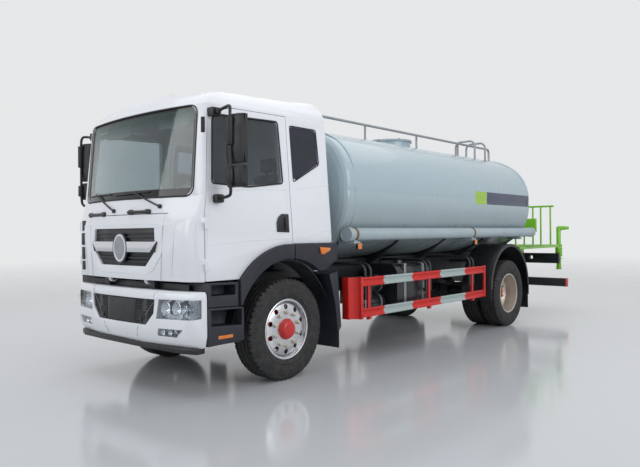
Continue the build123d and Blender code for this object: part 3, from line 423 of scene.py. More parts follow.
# %% Tyre rubber
rubber = Finish("tyre_rubber", "tyre", 0.75)
bloom = rubber.spread(rubber.noise(14, 5), 0, 1, 0.35, 0.75)
rubber.link(rubber.mixed(bloom, tone(30, 31, 33), tone(54, 53, 52)), "Base Color")
rubber.link(rubber.spread(rubber.noise(30), 0.62, 0.85), "Roughness")
rubber.bumped(rubber.noise(500, 4), 0.35, 0.0008)
TYRE_RUBBER = rubber.material

# %% [markdown]
# ### Tank paint
# The tank is sprayed pale blue-grey. Low on each flank a painted shade greys it, standing in for the darker
# reflection there, and near its rear end two
# bands lie side by side: a short lime one and a long navy one. They are painted on both flanks.

# %% Tank paint
BAND_Z = (1846, 2028)
LIME_Y = (3780, 4119)
NAVY_Y = (4130, 5612)

tank_paint = Finish("tank_coat", "tank_paint", 0.3)
_, along, height = tank_paint.axes()
# painted shade: below 1.30 m the colour goes to a darker grey under a cloudy noise, standing in for the flank's
# darker reflection
low_painted_shade = tank_paint.spread(height, 1, 0, 1.30, 1.95)
painted_shade_share = tank_paint.math("MULTIPLY", low_painted_shade, tank_paint.spread(tank_paint.noise(1.6, 4), 0.6, 1))
body_colour = tank_paint.mixed(painted_shade_share, tone(168, 186, 193), tone(140, 150, 152))
banded = tank_paint.between(height, BAND_Z[0] * MM, BAND_Z[1] * MM)
for limits, band_colour in ((LIME_Y, (152, 196, 40)), (NAVY_Y, (34, 48, 80))):
    there = tank_paint.between(along, *stations(*limits))
    body_colour = tank_paint.mixed(tank_paint.math("MULTIPLY", banded, there), body_colour, tone(*band_colour))
tank_paint.link(body_colour, "Base Color")
tank_paint.link(tank_paint.spread(tank_paint.noise(5), 0.26, 0.36), "Roughness")
tank_paint.bumped(tank_paint.noise(1.3, 2), 0.10, 0.012)
tank_paint.shader.inputs["Coat Weight"].default_value = 0.35
TANK_PAINT = tank_paint.material
print("navy band", NAVY_Y[1] - NAVY_Y[0], "mm long")

# %% [markdown]
# ### Guard paint
# The side guards are banded red and white along their length, so the paint changes at measured stations.

# %% Guard paint
GUARD_WHITE = ((1482, 2077), (2737, 3388))
RAIL_HEIGHTS = ((0.495, 0.615), (0.840, 0.960))

guard_paint = Finish("guard_paint", "guard_red", 0.4)
_, along, height = guard_paint.axes()
guard_colour = guard_paint.coloured(tone(206, 34, 28), 0.08, 6)
lower_rail, upper_rail = (guard_paint.between(height, *limits) for limits in RAIL_HEIGHTS)
rails_only = guard_paint.math("MAXIMUM", lower_rail, upper_rail)
for limits in GUARD_WHITE:
    there = guard_paint.math("MULTIPLY", guard_paint.between(along, *stations(*limits)), rails_only)
    guard_colour = guard_paint.mixed(there, guard_colour, tone(172, 186, 184))
guard_paint.link(guard_colour, "Base Color")
guard_paint.link(guard_paint.spread(guard_paint.noise(9), 0.34, 0.46), "Roughness")
guard_paint.bumped(guard_paint.noise(600), 0.06, 0.0006)
GUARD_PAINT = guard_paint.material
print(len(GUARD_WHITE), "white lengths on each guard")

# %% [markdown]
# ### Glass
# The cab's glass is tinted. The windscreen also has a black printed border that hides its glue line, and
# a green sun band along its top. Both follow the glass's own outline.

# %% Glass
# the windscreen's half width and height at its foot and at its head
WINDSCREEN_LOW, WINDSCREEN_HIGH = (916, 1790), (905, 2598)
BORDER_WIDTH, BORDER_FOOT, BORDER_HEAD = 0.034, 1.862, 2.566
CLEAR_Y, CLEAR_Z = (190, 430), (2.200, 2.455)


def glass(name, tint, border=None, band=None, border_colour=(10, 11, 13)):
    """Tinted glass that border makes opaque in places, with a sun band between two heights."""
    made = Finish(name, "glass", 0.03)
    across, along, height = made.axes()
    colour = made.coloured(tone(*tint), 0.04, 3)
    if band:
        colour = made.mixed(made.spread(height, 0, 1, *band), colour, tone(62, 150, 142))
    opaque = border(made, across, along, height) if border else made.math("MULTIPLY", height, 0.0)
    made.link(made.mixed(opaque, colour, tone(*border_colour)), "Base Color")
    made.link(made.spread(opaque, 1, 0, 0, 1), "Transmission Weight")
    made.link(made.spread(made.noise(6), 0.02, 0.05), "Roughness")
    made.shader.inputs["IOR"].default_value = 1.45
    return made.material


def windscreen_border(made, across, along, height):
    """1 near the windscreen's sides, foot and head, which draw in a little towards its head."""
    slope = (WINDSCREEN_LOW[0] - WINDSCREEN_HIGH[0]) / (WINDSCREEN_HIGH[1] - WINDSCREEN_LOW[1])
    half = made.math("MULTIPLY_ADD", height, -slope)
    half.node.inputs[2].default_value = (WINDSCREEN_LOW[0] + slope * WINDSCREEN_LOW[1]) * MM
    room = made.math("SUBTRACT", half, made.math("ABSOLUTE", across))
    side = made.between(room, -1.0, BORDER_WIDTH, 0.003)
    foot = made.between(height, 0.0, BORDER_FOOT, 0.004)
    head = made.between(height, BORDER_HEAD, 4.0, 0.004)
    return made.math("MAXIMUM", side, made.math("MAXIMUM", foot, head))


def quarter_border(made, across, along, height):
    """1 but for a clear field high in the quarter window."""
    wide = made.between(along, *stations(*CLEAR_Y), 0.002)
    high = made.between(height, *CLEAR_Z, 0.002)
    return made.math("SUBTRACT", 1.0, made.math("MULTIPLY", wide, high))


WINDSCREEN_GLASS = glass("windscreen_glass", (206, 220, 220), windscreen_border, (2.42, 2.58))
QUARTER_GLASS = glass("quarter_glass", (96, 108, 126), quarter_border, border_colour=(30, 34, 52))
DOOR_GLASS = glass("door_glass", (168, 178, 184))
CLEAR_LENS = glass("clear_lens", (232, 236, 240))
print("windscreen, quarter, door and lens glass")

# %% [markdown]
# ### Patterned finishes
# The bumper's mesh is a honeycomb, the deck and steps are pressed with small raised lozenges, and the
# seats are woven cloth.

# %% Patterned finishes
honeycomb = Finish("honeycomb", "grille_black", 0.45)
grid = {"Vector": honeycomb.where, "Scale": 42.0, "Randomness": 0.12}
cells = honeycomb.add("ShaderNodeTexVoronoi", grid, feature="DISTANCE_TO_EDGE")
holes = honeycomb.spread(cells.outputs["Distance"], 0, 1, 0.05, 0.12)
honeycomb.link(honeycomb.mixed(holes, tone(54, 56, 60), tone(9, 9, 11)), "Base Color")
honeycomb.link(honeycomb.spread(holes, 0.4, 0.9, 0, 1), "Roughness")
honeycomb.bumped(honeycomb.spread(holes, 1, 0, 0, 1), 0.9, 0.004)
HONEYCOMB = honeycomb.material


def pressed_plate(name, slot, colour, cloud, size, roughness, strength, depth):
    """Sheet pressed with a diagonal grid of small raised lozenges."""
    made = Finish(name, slot)
    turn = made.add("ShaderNodeMapping", {"Vector": made.where, "Rotation": (0, 0, math.radians(45))})
    grid = {"Vector": turn.outputs[0], "Scale": size, "Randomness": 0.0}
    lozenges = made.add("ShaderNodeTexVoronoi", grid).outputs["Distance"]
    made.link(made.coloured(tone(*colour), 0.15, cloud), "Base Color")
    made.link(made.spread(lozenges, *roughness), "Roughness")
    made.bumped(made.spread(lozenges, 1, 0, 0.15, 0.35), strength, depth)
    return made.material


TREAD_PLATE = pressed_plate("tread_plate", "platform_green", (110, 168, 44), 5, 34.0, (0.35, 0.6), 0.7, 0.003)
STEP_PLATE = pressed_plate("step_plate", "dark_trim", (52, 54, 60), 8, 60.0, (0.4, 0.65), 0.6, 0.002)

seat_cloth = Finish("woven_cloth", "seat_cloth", 0.9)
warp = seat_cloth.add("ShaderNodeTexWave", {"Vector": seat_cloth.where, "Scale": 160.0}, bands_direction="X")
weft = seat_cloth.add("ShaderNodeTexWave", {"Vector": seat_cloth.where, "Scale": 160.0}, bands_direction="Z")
weave = seat_cloth.math("MULTIPLY", warp.outputs["Fac"], weft.outputs["Fac"])
seat_cloth.link(seat_cloth.coloured(tone(146, 148, 152), 0.12, 9), "Base Color")
seat_cloth.link(seat_cloth.spread(weave, 0.8, 0.95, 0, 1), "Roughness")
seat_cloth.bumped(weave, 0.5, 0.0015)
seat_cloth.shader.inputs["Sheen Weight"].default_value = 0.3
SEAT_CLOTH = seat_cloth.material

# %% [markdown]
# ## Panels and castings taken from the frame
# Most of the truck is pressed sheet, bent tube and cast metal, whose edges are rolled or rounded. A copy of
# each CAD node gets its flat faces merged, a small bevel on every real edge and smooth shading between
# them. Its size stays the CAD's.

# %% Rounding a copy of a node
BODY_OF = {node: body for body, nodes in frame["record"]["behaviour"]["bodies"].items() for node in nodes}


def copy_of(node, name):
    """A new mesh object with a copy of a node's mesh, its shared vertices merged."""
    source = NODES[node]
    piece = bpy.data.objects.new(name, source.data.copy())
    bpy.context.scene.collection.objects.link(piece)
    edit(piece, (bpy.ops.mesh.remove_doubles, {"threshold": 1e-5}))
    return piece


EDGE, FLAT = 28, 3  # degrees: what counts as an edge, and what as flat


def softened(node, material, width):
    """Stands a copy of a node with rounded edges in its place."""
    piece = copy_of(node, node + "_skin")
    edit(piece, (bpy.ops.mesh.dissolve_limited, {"angle_limit": math.radians(FLAT)}))
    if width:
        edge = math.radians(EDGE)
        modify(piece, "BEVEL", width=width * MM, segments=2, limit_method="ANGLE", angle_limit=edge)
    finish(piece, node + "_skin", BODY_OF[node], material, EDGE)
    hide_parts(node)


def dressed(node, material, smooth=30):
    """Gives a node itself a finish, where its shape is already the real one."""
    piece = NODES[node]
    take(piece)
    bpy.ops.object.shade_smooth_by_angle(angle=math.radians(smooth))
    piece.data.materials.clear()
    piece.data.materials.append(material)


# %% [markdown]
# Sheet gets a radius of a few millimetres and a casting a larger one. Round tube has no edge to round.

# %% Rounded panels and castings
ROUNDED = [
    # node, finish, edge radius
    ("cab_front", WHITE_PAINT, 4), ("cab_roof", WHITE_PAINT, 4), ("cab_rear", WHITE_PAINT, 4),
    ("cab_pillars", WHITE_PAINT, 3), ("cab_sides", WHITE_PAINT, 4), ("cab_flares", DARK_PLASTIC, 5),
    ("door_left", WHITE_PAINT, 4), ("door_right", WHITE_PAINT, 4), ("door_flare_left", DARK_PLASTIC, 5),
    ("door_flare_right", DARK_PLASTIC, 5), ("bumper", WHITE_PAINT, 6), ("step_fairings", DARK_PLASTIC, 5),
    ("steps", DARK_PLASTIC, 5), ("front_mudguards", DARK_PLASTIC, 5), ("grille", BLACK_PLASTIC, 4),
    ("dashboard", DASH_PLASTIC, 14), ("cab_floor", BLACK_PLASTIC, 8), ("frame", CHASSIS_PAINT, 4),
    ("engine", CAST_IRON, 14), ("propshaft", AXLE_STEEL, 3), ("springs", AXLE_STEEL, 3),
    ("front_axle", AXLE_STEEL, 6), ("rear_axle", AXLE_STEEL, 6), ("knuckle_left", AXLE_STEEL, 3),
    ("knuckle_right", AXLE_STEEL, 3), ("tie_rod", AXLE_STEEL, 2), ("storage_tubes", TUBE_PAINT, 3),
    ("top_rails", RAIL_STEEL, 0), ("ladder_hoops", RAIL_STEEL, 0), ("fuel_tank", TANK_BLACK, 8),
    ("air_tanks", TANK_BLACK, 5), ("battery_box", TANK_BLACK, 8), ("muffler", AXLE_STEEL, 6),
    ("side_guards", GUARD_PAINT, 4), ("guard_hoops", CHASSIS_PAINT, 0), ("rear_fenders", BLACK_PLASTIC, 4),
    ("platform", GREEN_PAINT, 3), ("rear_beam", CHASSIS_PAINT, 5), ("spray_pipes", GREEN_PAINT, 3),
    ("underrun_bar", CHASSIS_PAINT, 5),
]
for node, material, width in ROUNDED:
    softened(node, material, width)
print(len(ROUNDED), "nodes rounded")

# %% [markdown]
# Panes, the bumper's mesh, the tank and its lid already have their real shape, so they only get a finish.

# %% Glass, mesh and tank
dressed("windscreen", WINDSCREEN_GLASS)
dressed("quarter_glass", QUARTER_GLASS)
for side in SIDES:
    dressed("door_glass_" + side, DOOR_GLASS)
dressed("bumper_mesh", HONEYCOMB)
dressed("tank", TANK_PAINT, 40)
dressed("manhole_lid", TUBE_PAINT)
print("glass, mesh and tank")

# %% [markdown]
# ## Tyres
# A truck tyre is a turned carcass: bead, bulging sidewall with two moulded rings, and a tread band. Three
# ribs run round the middle of the tread, and a row of separate blocks makes up each shoulder. The carcass
# and ribs are spun from their section, and one block is repeated round the axle.

# %% Tyres
HUB_Z = 500
FRONT_TYRE_X = 935
DUAL_X = (765, 1077)
TYRE_SECTION = [
    # half of the carcass section: distance from the tyre's middle, radius
    (100, 291), (113, 296), (121, 310), (128, 334), (132, 338), (132, 346), (130, 350),
    (137, 392), (136, 412), (133, 428), (135, 431), (134, 438), (131, 441), (125, 468), (118, 482), (60, 487),
]
RIBS = [
    # a rib of the tread: where it starts and ends across the tyre
    (-70, -32), (-22, 22), (32, 70),
]
TREAD_R = 500
SHOULDER_BLOCKS = 54
BLOCK_SHARE = 0.80  # of the way to the next block
SHOULDER = [
    # a shoulder block's outline: distance from the tyre's middle, radius
    (80, TREAD_R), (110, TREAD_R - 1), (120, TREAD_R - 14), (124, 472), (80, 480),
]


def wheel_turned(section, x, y, steps=72):
    """A closed section of (outwards, radius) spun about a left wheel's axle."""
    return turned(section, (x, y, HUB_Z), (1, 0, 0), steps)


def round_the_wheel(piece, count, x, y):
    """Repeats a small piece evenly round a left wheel's axle, in one mesh."""
    turn = 2 * math.pi / count * (count - 1)
    way = {"steps": count - 1, "dupli": True, "angle": turn, "center": place(x, y, HUB_Z), "axis": (1, 0, 0)}
    edit(piece, (bpy.ops.mesh.spin, way))
    return piece


def shoulder_block(x, y, out):
    """One shoulder block at the top of a tyre, on its out side."""
    length = 2 * math.pi * TREAD_R / SHOULDER_BLOCKS * BLOCK_SHARE
    corners = [(x + across * out, y - length / 2, HUB_Z + radius) for across, radius in SHOULDER]
    piece = outline(corners, out=(0, length, 0))
    modify(piece, "BEVEL", width=3 * MM, segments=1, limit_method="ANGLE")
    return piece


def tyre(x, y):
    """One tyre whose middle is at x on the axle at y."""
    section = TYRE_SECTION + [(-along, radius) for along, radius in reversed(TYRE_SECTION)]
    parts = [wheel_turned(section, x, y)]
    for low, high in RIBS:
        start = [(low, 480), (low, TREAD_R - 1), (low + 2, TREAD_R)]
        end = [(high - 2, TREAD_R), (high, TREAD_R - 1), (high, 480)]
        parts.append(wheel_turned(start + end, x, y))
    for out in (-1, 1):
        parts.append(round_the_wheel(shoulder_block(x, y, out), SHOULDER_BLOCKS, x, y))
    return joined(parts)


pair(tyre(FRONT_TYRE_X, 0), "tyre_front", "wheel_front_{side}", TYRE_RUBBER, replaced=["tyre_front"])
duals = joined([tyre(x, WHEELBASE) for x in DUAL_X])
pair(duals, "tyres_rear", "wheels_rear_{side}", TYRE_RUBBER, replaced=["tyres_rear"])
print("six tyres,", SHOULDER_BLOCKS, "blocks a shoulder")

# %% [markdown]
# ## Wheels
# Each front wheel is a polished disc that stands outwards, with ten round vents. The rear wheels are deep
# dishes bolted back to back. Red hubs stand in their middles, inside a ring of ten wheel nuts.

# %% Rims
VENTS, VENT_RING, VENT_R = 10, 222, 26
FRONT_RIM = [
    # the polished rim and disc: outwards from the tyre's middle, radius
    (-118, 298), (-112, 300), (-108, 291), (108, 291), (112, 300), (118, 299), (121, 290), (118, 279),
    (108, 274), (64, 269), (76, 262), (90, 251), (99, 225), (104, 192), (105, 150), (105, 96), (88, 96),
    (88, 190), (76, 236), (62, 250), (36, 258), (-100, 268), (-118, 276),
]
REAR_RIM = [
    # the outer dish of a rear pair: outwards from between the pair, radius
    (2, 110), (2, 200), (46, 250), (52, 268), (40, 278), (38, 298), (46, 300), (52, 291), (260, 291),
    (266, 300), (274, 299), (277, 290), (272, 279), (240, 274), (96, 266), (74, 250), (42, 222), (20, 194),
    (16, 150), (16, 110),
]
FRONT_HUB = [
    # the red hub and the drum behind it
    (88, 96), (105, 104), (112, 104), (118, 98), (128, 92), (146, 84), (154, 74), (158, 52), (158, 0),
    (-30, 0), (-30, 75), (24, 80), (24, 190), (-66, 196), (-66, 211), (40, 211), (60, 196), (60, 96),
]
REAR_HUB = [
    # the red hub within the outer dish, and the drum behind it
    (2, 100), (16, 108), (110, 104), (124, 98), (132, 84), (134, 60), (134, 0), (-70, 0), (-70, 42),
    (-120, 42), (-120, 80), (-30, 80), (-30, 172), (-190, 172), (-190, 190), (-20, 190), (-10, 100),
]
DUAL_MID_X = sum(DUAL_X) / 2
NUTS, NUT_RING, NUT_R = 10, 167, 19


def vented(rim, x, y):
    """Cuts the ring of vents through a rim's disc."""
    cutter = rod((x - 60, y, HUB_Z + VENT_RING), (x + 140, y, HUB_Z + VENT_RING), VENT_R, 24)
    round_the_wheel(cutter, VENTS, x, y)
    modify(rim, "BOOLEAN", object=cutter, operation="DIFFERENCE", solver="EXACT")
    bpy.data.objects.remove(cutter)
    modify(rim, "BEVEL", width=2 * MM, segments=1, limit_method="ANGLE", angle_limit=math.radians(60))
    return rim


def nuts(x, face, y):
    """The ring of wheel nuts on a disc face: washer, hexagon and stud."""
    at = x + face
    height = HUB_Z + NUT_RING
    washer = rod((at, y, height), (at + 5, y, height), 24, 20, 1)
    nut = rod((at + 5, y, height), (at + 27, y, height), NUT_R, 6, 2)
    stud = rod((at + 27, y, height), (at + 38, y, height), 9, 12, 2)
    return round_the_wheel(joined([washer, nut, stud]), NUTS, x, y)


front_rim = vented(wheel_turned(FRONT_RIM, FRONT_TYRE_X, 0, 96), FRONT_TYRE_X, 0)
pair(front_rim, "rim_front", "wheel_front_{side}", POLISHED_RIM, replaced=["rim_front"])
pair(wheel_turned(FRONT_HUB, FRONT_TYRE_X, 0), "hub_front", "wheel_front_{side}", RED_PAINT)
pair(nuts(FRONT_TYRE_X, 105, 0), "nuts_front", "wheel_front_{side}", NUT_STEEL)

dishes = []
for out in (1, -1):
    dish = wheel_turned([(along * out, radius) for along, radius in REAR_RIM], DUAL_MID_X, WHEELBASE, 96)
    dishes.append(vented(dish, DUAL_MID_X, WHEELBASE))
pair(dishes, "rims_rear", "wheels_rear_{side}", SILVER_RIM, replaced=["rims_rear"])
pair(wheel_turned(REAR_HUB, DUAL_MID_X, WHEELBASE), "hub_rear", "wheels_rear_{side}", RED_PAINT)
pair(nuts(DUAL_MID_X, 16, WHEELBASE), "nuts_rear", "wheels_rear_{side}", NUT_STEEL)
print("rims, hubs and", 4 * NUTS, "nuts")

# %% [markdown]
# ## Finding the panels
# Trim sits on curved panels, so the cells below ask the panels where their outer face is: a line is sent
# towards them from the front or from the left, and the trim goes where it first meets one.

# %% Panel faces
def faces_of(*nodes):
    """The outer faces of some nodes, ready to be met by a line."""
    points, faces = [], []
    for node in nodes:
        mesh = NODES[node].data
        first = len(points)
        points += [vertex.co for vertex in mesh.vertices]
        faces += [[first + k for k in face.vertices] for face in mesh.polygons]
    return BVHTree.FromPolygons(points, faces)


CAB_PANELS = ("cab_front", "cab_pillars", "cab_roof", "cab_sides", "cab_rear")
CAB_FACE = faces_of(*CAB_PANELS, "windscreen", "door_left", "door_glass_left", "quarter_glass")
BUMPER_FACE = faces_of("bumper", "bumper_mesh", "lamps")
GRILLE_FACE = faces_of("grille")
NUDGES = ((0, 0), (0, 8), (0, -8), (8, 0), (-8, 0), (0, 16), (0, -16))


def from_front(x, z, out=0, face=CAB_FACE):
    """The point of a face seen from the front at x, z, moved out by so many millimetres.

    A line that slips through the gap between two panels is tried again close by.
    """
    for across, up in NUDGES:
        at, _, _, _ = face.ray_cast(place(x + across, -3000, z + up), Vector((0, 1, 0)), 3.5)
        if at:
            return (x, (at.y - AXLE_Y) / MM - out, z)
    raise ValueError(f"nothing in front at {x}, {z}")


def from_left(y, z, out):
    """The point of the cab seen from the left at y, z, moved out by so many millimetres."""
    for along, up in NUDGES:
        at, _, _, _ = CAB_FACE.ray_cast(place(3000, y + along, z + up), Vector((-1, 0, 0)), 2.5)
        if at:
            return (at.x / MM + out, y, z)
    raise ValueError(f"nothing on the left at {y}, {z}")


def rounded(corners, radius, steps=6):
    """A closed outline in two dimensions with its corners rounded."""
    points = []
    for k, corner in enumerate(corners):
        here = Vector(corner)
        before, after = Vector(corners[k - 1]), Vector(corners[(k + 1) % len(corners)])
        start = here + (before - here).normalized() * radius
        end = here + (after - here).normalized() * radius
        for step in range(steps + 1):
            share = step / steps
            point = start.lerp(here, share).lerp(here.lerp(end, share), share)
            points.append(tuple(point))
    return points


def stepped(points, length, closed=True):
    """The same line with points no further apart than length."""
    result = []
    pairs = list(zip(points, points[1:] + points[:1] if closed else points[1:]))
    for start, end in pairs:
        start, end = Vector(start), Vector(end)
        count = max(1, math.ceil((end - start).length / length))
        result += [tuple(start.lerp(end, k / count)) for k in range(count)]
    return result if closed else result + [tuple(points[-1])]


def grown(corners, by):
    """The same outline with every corner moved away from its middle."""
    middle = sum((Vector(corner) for corner in corners), Vector((0, 0))) / len(corners)
    return [tuple(Vector(corner) + (Vector(corner) - middle).normalized() * by) for corner in corners]


def loop_on(meet, corners, corner, radius, out, by=0):
    """A bead round a closed outline on the face that meet finds, with the outline grown by so much."""
    points = [meet(*at, out) for at in stepped(rounded(grown(corners, by), corner), 60)]
    return line(points, radius, closed=True)


def front_line(points, radius, out=0, face=CAB_FACE, step=60):
    """An open bead through points of (x, z) on the front."""
    return line([from_front(x, z, out, face) for x, z in stepped(points, step, closed=False)], radius)


def bowed(x, z, depth, out, face, bevel, reach=9999):
    """A bar across the front that follows the panel's bow, between x limits and z limits.

    Beyond reach the panel has ended, and the bar runs straight on.
    """
    middle = (z[0] + z[1]) / 2
    count = max(2, math.ceil((x[1] - x[0]) / 60))
    stations = [x[0] + (x[1] - x[0]) * k / count for k in range(count + 1)]
    near = [from_front(max(-reach, min(reach, s)), middle, out, face)[1] for s in stations]
    plan = [(s, y, z[0]) for s, y in zip(stations, near)]
    plan += [(s, y + depth, z[0]) for s, y in zip(reversed(stations), reversed(near))]
    return outline(plan, bevel, 2, (0, 0, z[1] - z[0]))


print("panels can be met from the front and from the left")

# %% [markdown]
# ## Window seals and the windscreen
# A black rubber seal runs round every window. Two wipers park along the foot of the windscreen, each a
# bent arm on a pivot in the panel under it, with a long blade.

# %% Window seals
WINDSCREEN_EDGE = ((-916, 1790), (-905, 2598), (905, 2598), (916, 1790))
DOOR_WINDOW = ((-912, 1905), (-866, 2478), (-780, 2515), (-72, 2542), (-50, 1945), (-500, 1893))
QUARTER_WINDOW = ((114, 1968), (110, 2522), (486, 2522), (502, 2170))

finish(loop_on(from_front, WINDSCREEN_EDGE, 95, 9, -3, 10), "windscreen_seal", "cab", SEAL_RUBBER, 60)
pair(loop_on(from_left, QUARTER_WINDOW, 30, 8, -3, 9), "quarter_seal", "cab", SEAL_RUBBER, 60)
pair(loop_on(from_left, DOOR_WINDOW, 34, 10, -3, 11), "door_seal", "door_{side}", SEAL_RUBBER, 60)
print("window seals")

# %% Wipers
WIPERS = [
    # pivot x, z, arm's end x, z, blade's ends x, z, x, z
    ((-121, 1679), (-581, 1862), (-855, 1853), (-236, 1844)),
    ((581, 1702), (181, 1851), (-133, 1829), (405, 1842)),
]
parts = []
for pivot, end, first, last in WIPERS:
    foot, top = from_front(*pivot, -4), from_front(*pivot, 22)
    parts.append(rod(foot, top, 20, 20, 5))
    bend = tuple(p + (e - p) * 0.45 for p, e in zip(pivot, end))
    arm = [from_front(*pivot, 16), from_front(*bend, 22), from_front(*end, 18)]
    parts.append(tube(arm, 8))
    blade = stepped([first, last], 80, closed=False)
    parts.append(line([from_front(x, z, 7) for x, z in blade], 7))
    share = [tuple(f + (l - f) * s for f, l in zip(first, last)) for s in (0.2, 0.35, 0.65, 0.8)]
    parts.append(line([from_front(x, z, o) for (x, z), o in zip(share, (10, 17, 17, 10))], 5))
finish(parts, "wipers", "cab", BLACK_PLASTIC, 50)
print(len(WIPERS), "wipers")

# %% [markdown]
# ## The front panel
# The panel under the windscreen opens on two black handles. Thin gaps show its edges, a raised panel
# stands on each corner of the cab, and four dark air slots are cut in the far corner.

# %% Front panel
parts = []
for start, end, height in ((-694, -295, 1652), (136, 465, 1658)):
    bar = [from_front(start, height, 8), from_front((start + end) / 2, height, 10), from_front(end, height, 8)]
    parts.append(line(bar, 15, sides=4))
    for x in (start + 40, end - 40):
        foot = from_front(x, height, -3)
        parts.append(slab((x - 34, x + 34), (foot[1] - 18, foot[1]), (height - 24, height + 24), 7))
finish(parts, "front_handles", "cab", BLACK_PLASTIC, 40)

PANEL_EDGE = ((-597, 1021), (-655, 1632), (-690, 1637), (690, 1637), (655, 1632), (597, 1021))
finish(front_line(PANEL_EDGE[2:4], 3.2), "bonnet_gap", "cab", SEAL_RUBBER, 60)
parts = [front_line(PANEL_EDGE[first : first + 2], 1.6) for first in (0, 4)]
finish(parts, "front_panel_gaps", "cab", PALE_TRIM, 60)

CORNER_PANEL = [
    (985, 1610), (805, 1549), (790, 1499), (742, 1120), (738, 1046), (999, 1043), (1014, 1149), (1000, 1546),
]
pair(loop_on(from_front, CORNER_PANEL, 18, 4.5, -2), "corner_panel_edge", "cab", WHITE_PAINT, 60)

AIR_SLOTS = ((1490, 1600), (1345, 1470), (1195, 1325), (1085, 1178))
parts = []
for low, high in AIR_SLOTS:
    foot = from_front(-830, (low + high) / 2)
    parts.append(slab((-862, -798), (foot[1] - 6, foot[1] + 24), (low, high), 6))
finish(parts, "corner_slots", "cab", BLACK_PLASTIC)
print("front panel,", len(AIR_SLOTS), "corner slots")

# %% [markdown]
# ## The grille
# Dark slats cross the grille's recess. A wide chromed bar stands in front of them, and carries a plain
# oval ring in the middle.

# %% Grille
SLATS = ((1462, 515), (1425, 520), (1232, 452), (1196, 415))
parts = [bowed((-half, half), (z - 9, z + 9), 18, 10, GRILLE_FACE, 4) for z, half in SLATS]
finish(parts, "grille_slats", "cab", DARK_PLASTIC)

bar = bowed((-572, 572), (1285, 1384), 8, 2, GRILLE_FACE, 0, reach=545)
for side in (-1, 1):
    plane = {"plane_co": place(572 * side, 0, 1384), "plane_no": (99 * side, 0, -38)}
    edit(bar, (bpy.ops.mesh.bisect, {**plane, "use_fill": True, "clear_outer": True}))
modify(bar, "BEVEL", width=4 * MM, segments=2, limit_method="ANGLE", angle_limit=math.radians(40))
finish(bar, "grille_bar", "cab", CHROME)

DISH = [(26, 0), (26, 150), (10, 156), (4, 150), (4, 0)]
RING = [(8, 108), (2, 111), (0, 120), (2, 132), (8, 137), (14, 132), (14, 111)]
PLATE = [(9, 0), (9, 112), (3, 110), (2, 0)]
RING_MIDDLE, RING_SQUEEZE = (0, -1211, 1322), 0.82
RING_PARTS = ((DISH, "ring_dish", BLACK_PLASTIC), (RING, "ring", CHROME), (PLATE, "ring_plate", RAIL_STEEL))
for profile, name, material in RING_PARTS:
    piece = turned(profile, RING_MIDDLE, (0, 1, 0), 56)
    squeeze = {"value": (RING_SQUEEZE, 1, 1), "center_override": place(*RING_MIDDLE)}
    edit(piece, (bpy.ops.transform.resize, squeeze))
    finish(piece, name, "cab", material)

TRIM = [(-560, 1545), (-640, 1530), (-622, 1280), (-500, 1130), (-400, 1085)]
TRIM += [(-x, z) for x, z in reversed(TRIM)]
finish(loop_on(from_front, TRIM, 20, 4, -2), "grille_surround", "cab", WHITE_PAINT, 60)
print(len(SLATS), "slats, a chromed bar and a plain ring")

# %% [markdown]
# ## The bumper
# The bumper has a honeycomb mesh with a blank plate panel and two tow openings, thin gaps either side,
# a black lip below, and above it the gap where the cab tilts on its frame, whose shade a black sheet paints.

# %% Bumper
PLATE_X, PLATE_Z = (-245, 245), (635, 850)
piece = bowed(PLATE_X, PLATE_Z, 10, 3, BUMPER_FACE, 4)
finish(piece, "plate_panel", "chassis", BLACK_PLASTIC)

TOW = ((-395, 745), (-262, 745), (-262, 660), (-385, 672))
parts = []
for side in (1, -1):
    parts.append(outline([from_front(x * side, z, -2, BUMPER_FACE) for x, z in TOW], 3, 1, (0, -5, 0)))
finish(parts, "tow_covers", "chassis", SEAL_RUBBER)
eyes = [rod((x, -1200, 668), (x, -1140, 668), 20, 20, 4) for x in (-330, 330)]
finish(eyes, "tow_pins", "chassis", CHASSIS_PAINT)

parts = []
for side in (-1, 1):
    seam = ((240 * side, 460), (315 * side, 633), (520 * side, 842), (536 * side, 912), (558 * side, 936))
    parts.append(front_line(seam, 2, 0, BUMPER_FACE, 50))
finish(parts, "bumper_gaps", "chassis", PALE_TRIM, 60)

PLAN = [(-1000, -1062), (-850, -1120), (-430, -1140), (0, -1146), (430, -1140), (850, -1120), (1000, -1062)]
plan = [(x, y, 395) for x, y in PLAN] + [(x, y + 90, 395) for x, y in reversed(PLAN)]
finish(outline(plan, 8, 2, (0, 0, 54)), "bumper_lip", "chassis", BLACK_PLASTIC)
print("bumper trim")

# %% [markdown]
# ## Lamps
# Each headlamp is a clear lens over two chromed bowls, with a ribbed marker lamp at its outer end. A
# smaller fog lamp sits below it.

# %% Lamps
def lens_of(node, name, back=0, thick=4):
    """A thin shell from the forward faces of a node."""
    piece = copy_of(node, name)
    take(piece)
    bpy.ops.object.mode_set(mode="EDIT")
    bpy.ops.mesh.select_mode(type="FACE")
    bpy.ops.mesh.select_all(action="DESELECT")
    bpy.ops.object.mode_set(mode="OBJECT")
    for face in piece.data.polygons:
        face.select = face.normal.y > -0.35
    bpy.ops.object.mode_set(mode="EDIT")
    bpy.ops.mesh.delete(type="FACE")
    bpy.ops.mesh.select_all(action="SELECT")
    bpy.ops.transform.translate(value=(0, back * MM, 0))
    bpy.ops.object.mode_set(mode="OBJECT")
    modify(piece, "SOLIDIFY", thickness=thick * MM, offset=-1)
    return piece


lens = lens_of("lamps", "lamp_lenses")
finish(lens, "lamp_lenses", "chassis", CLEAR_LENS)
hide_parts("lamps")
finish(lens_of("lamps", "lamp_backs", 62, 3), "lamp_backs", "chassis", CHROME, 30)

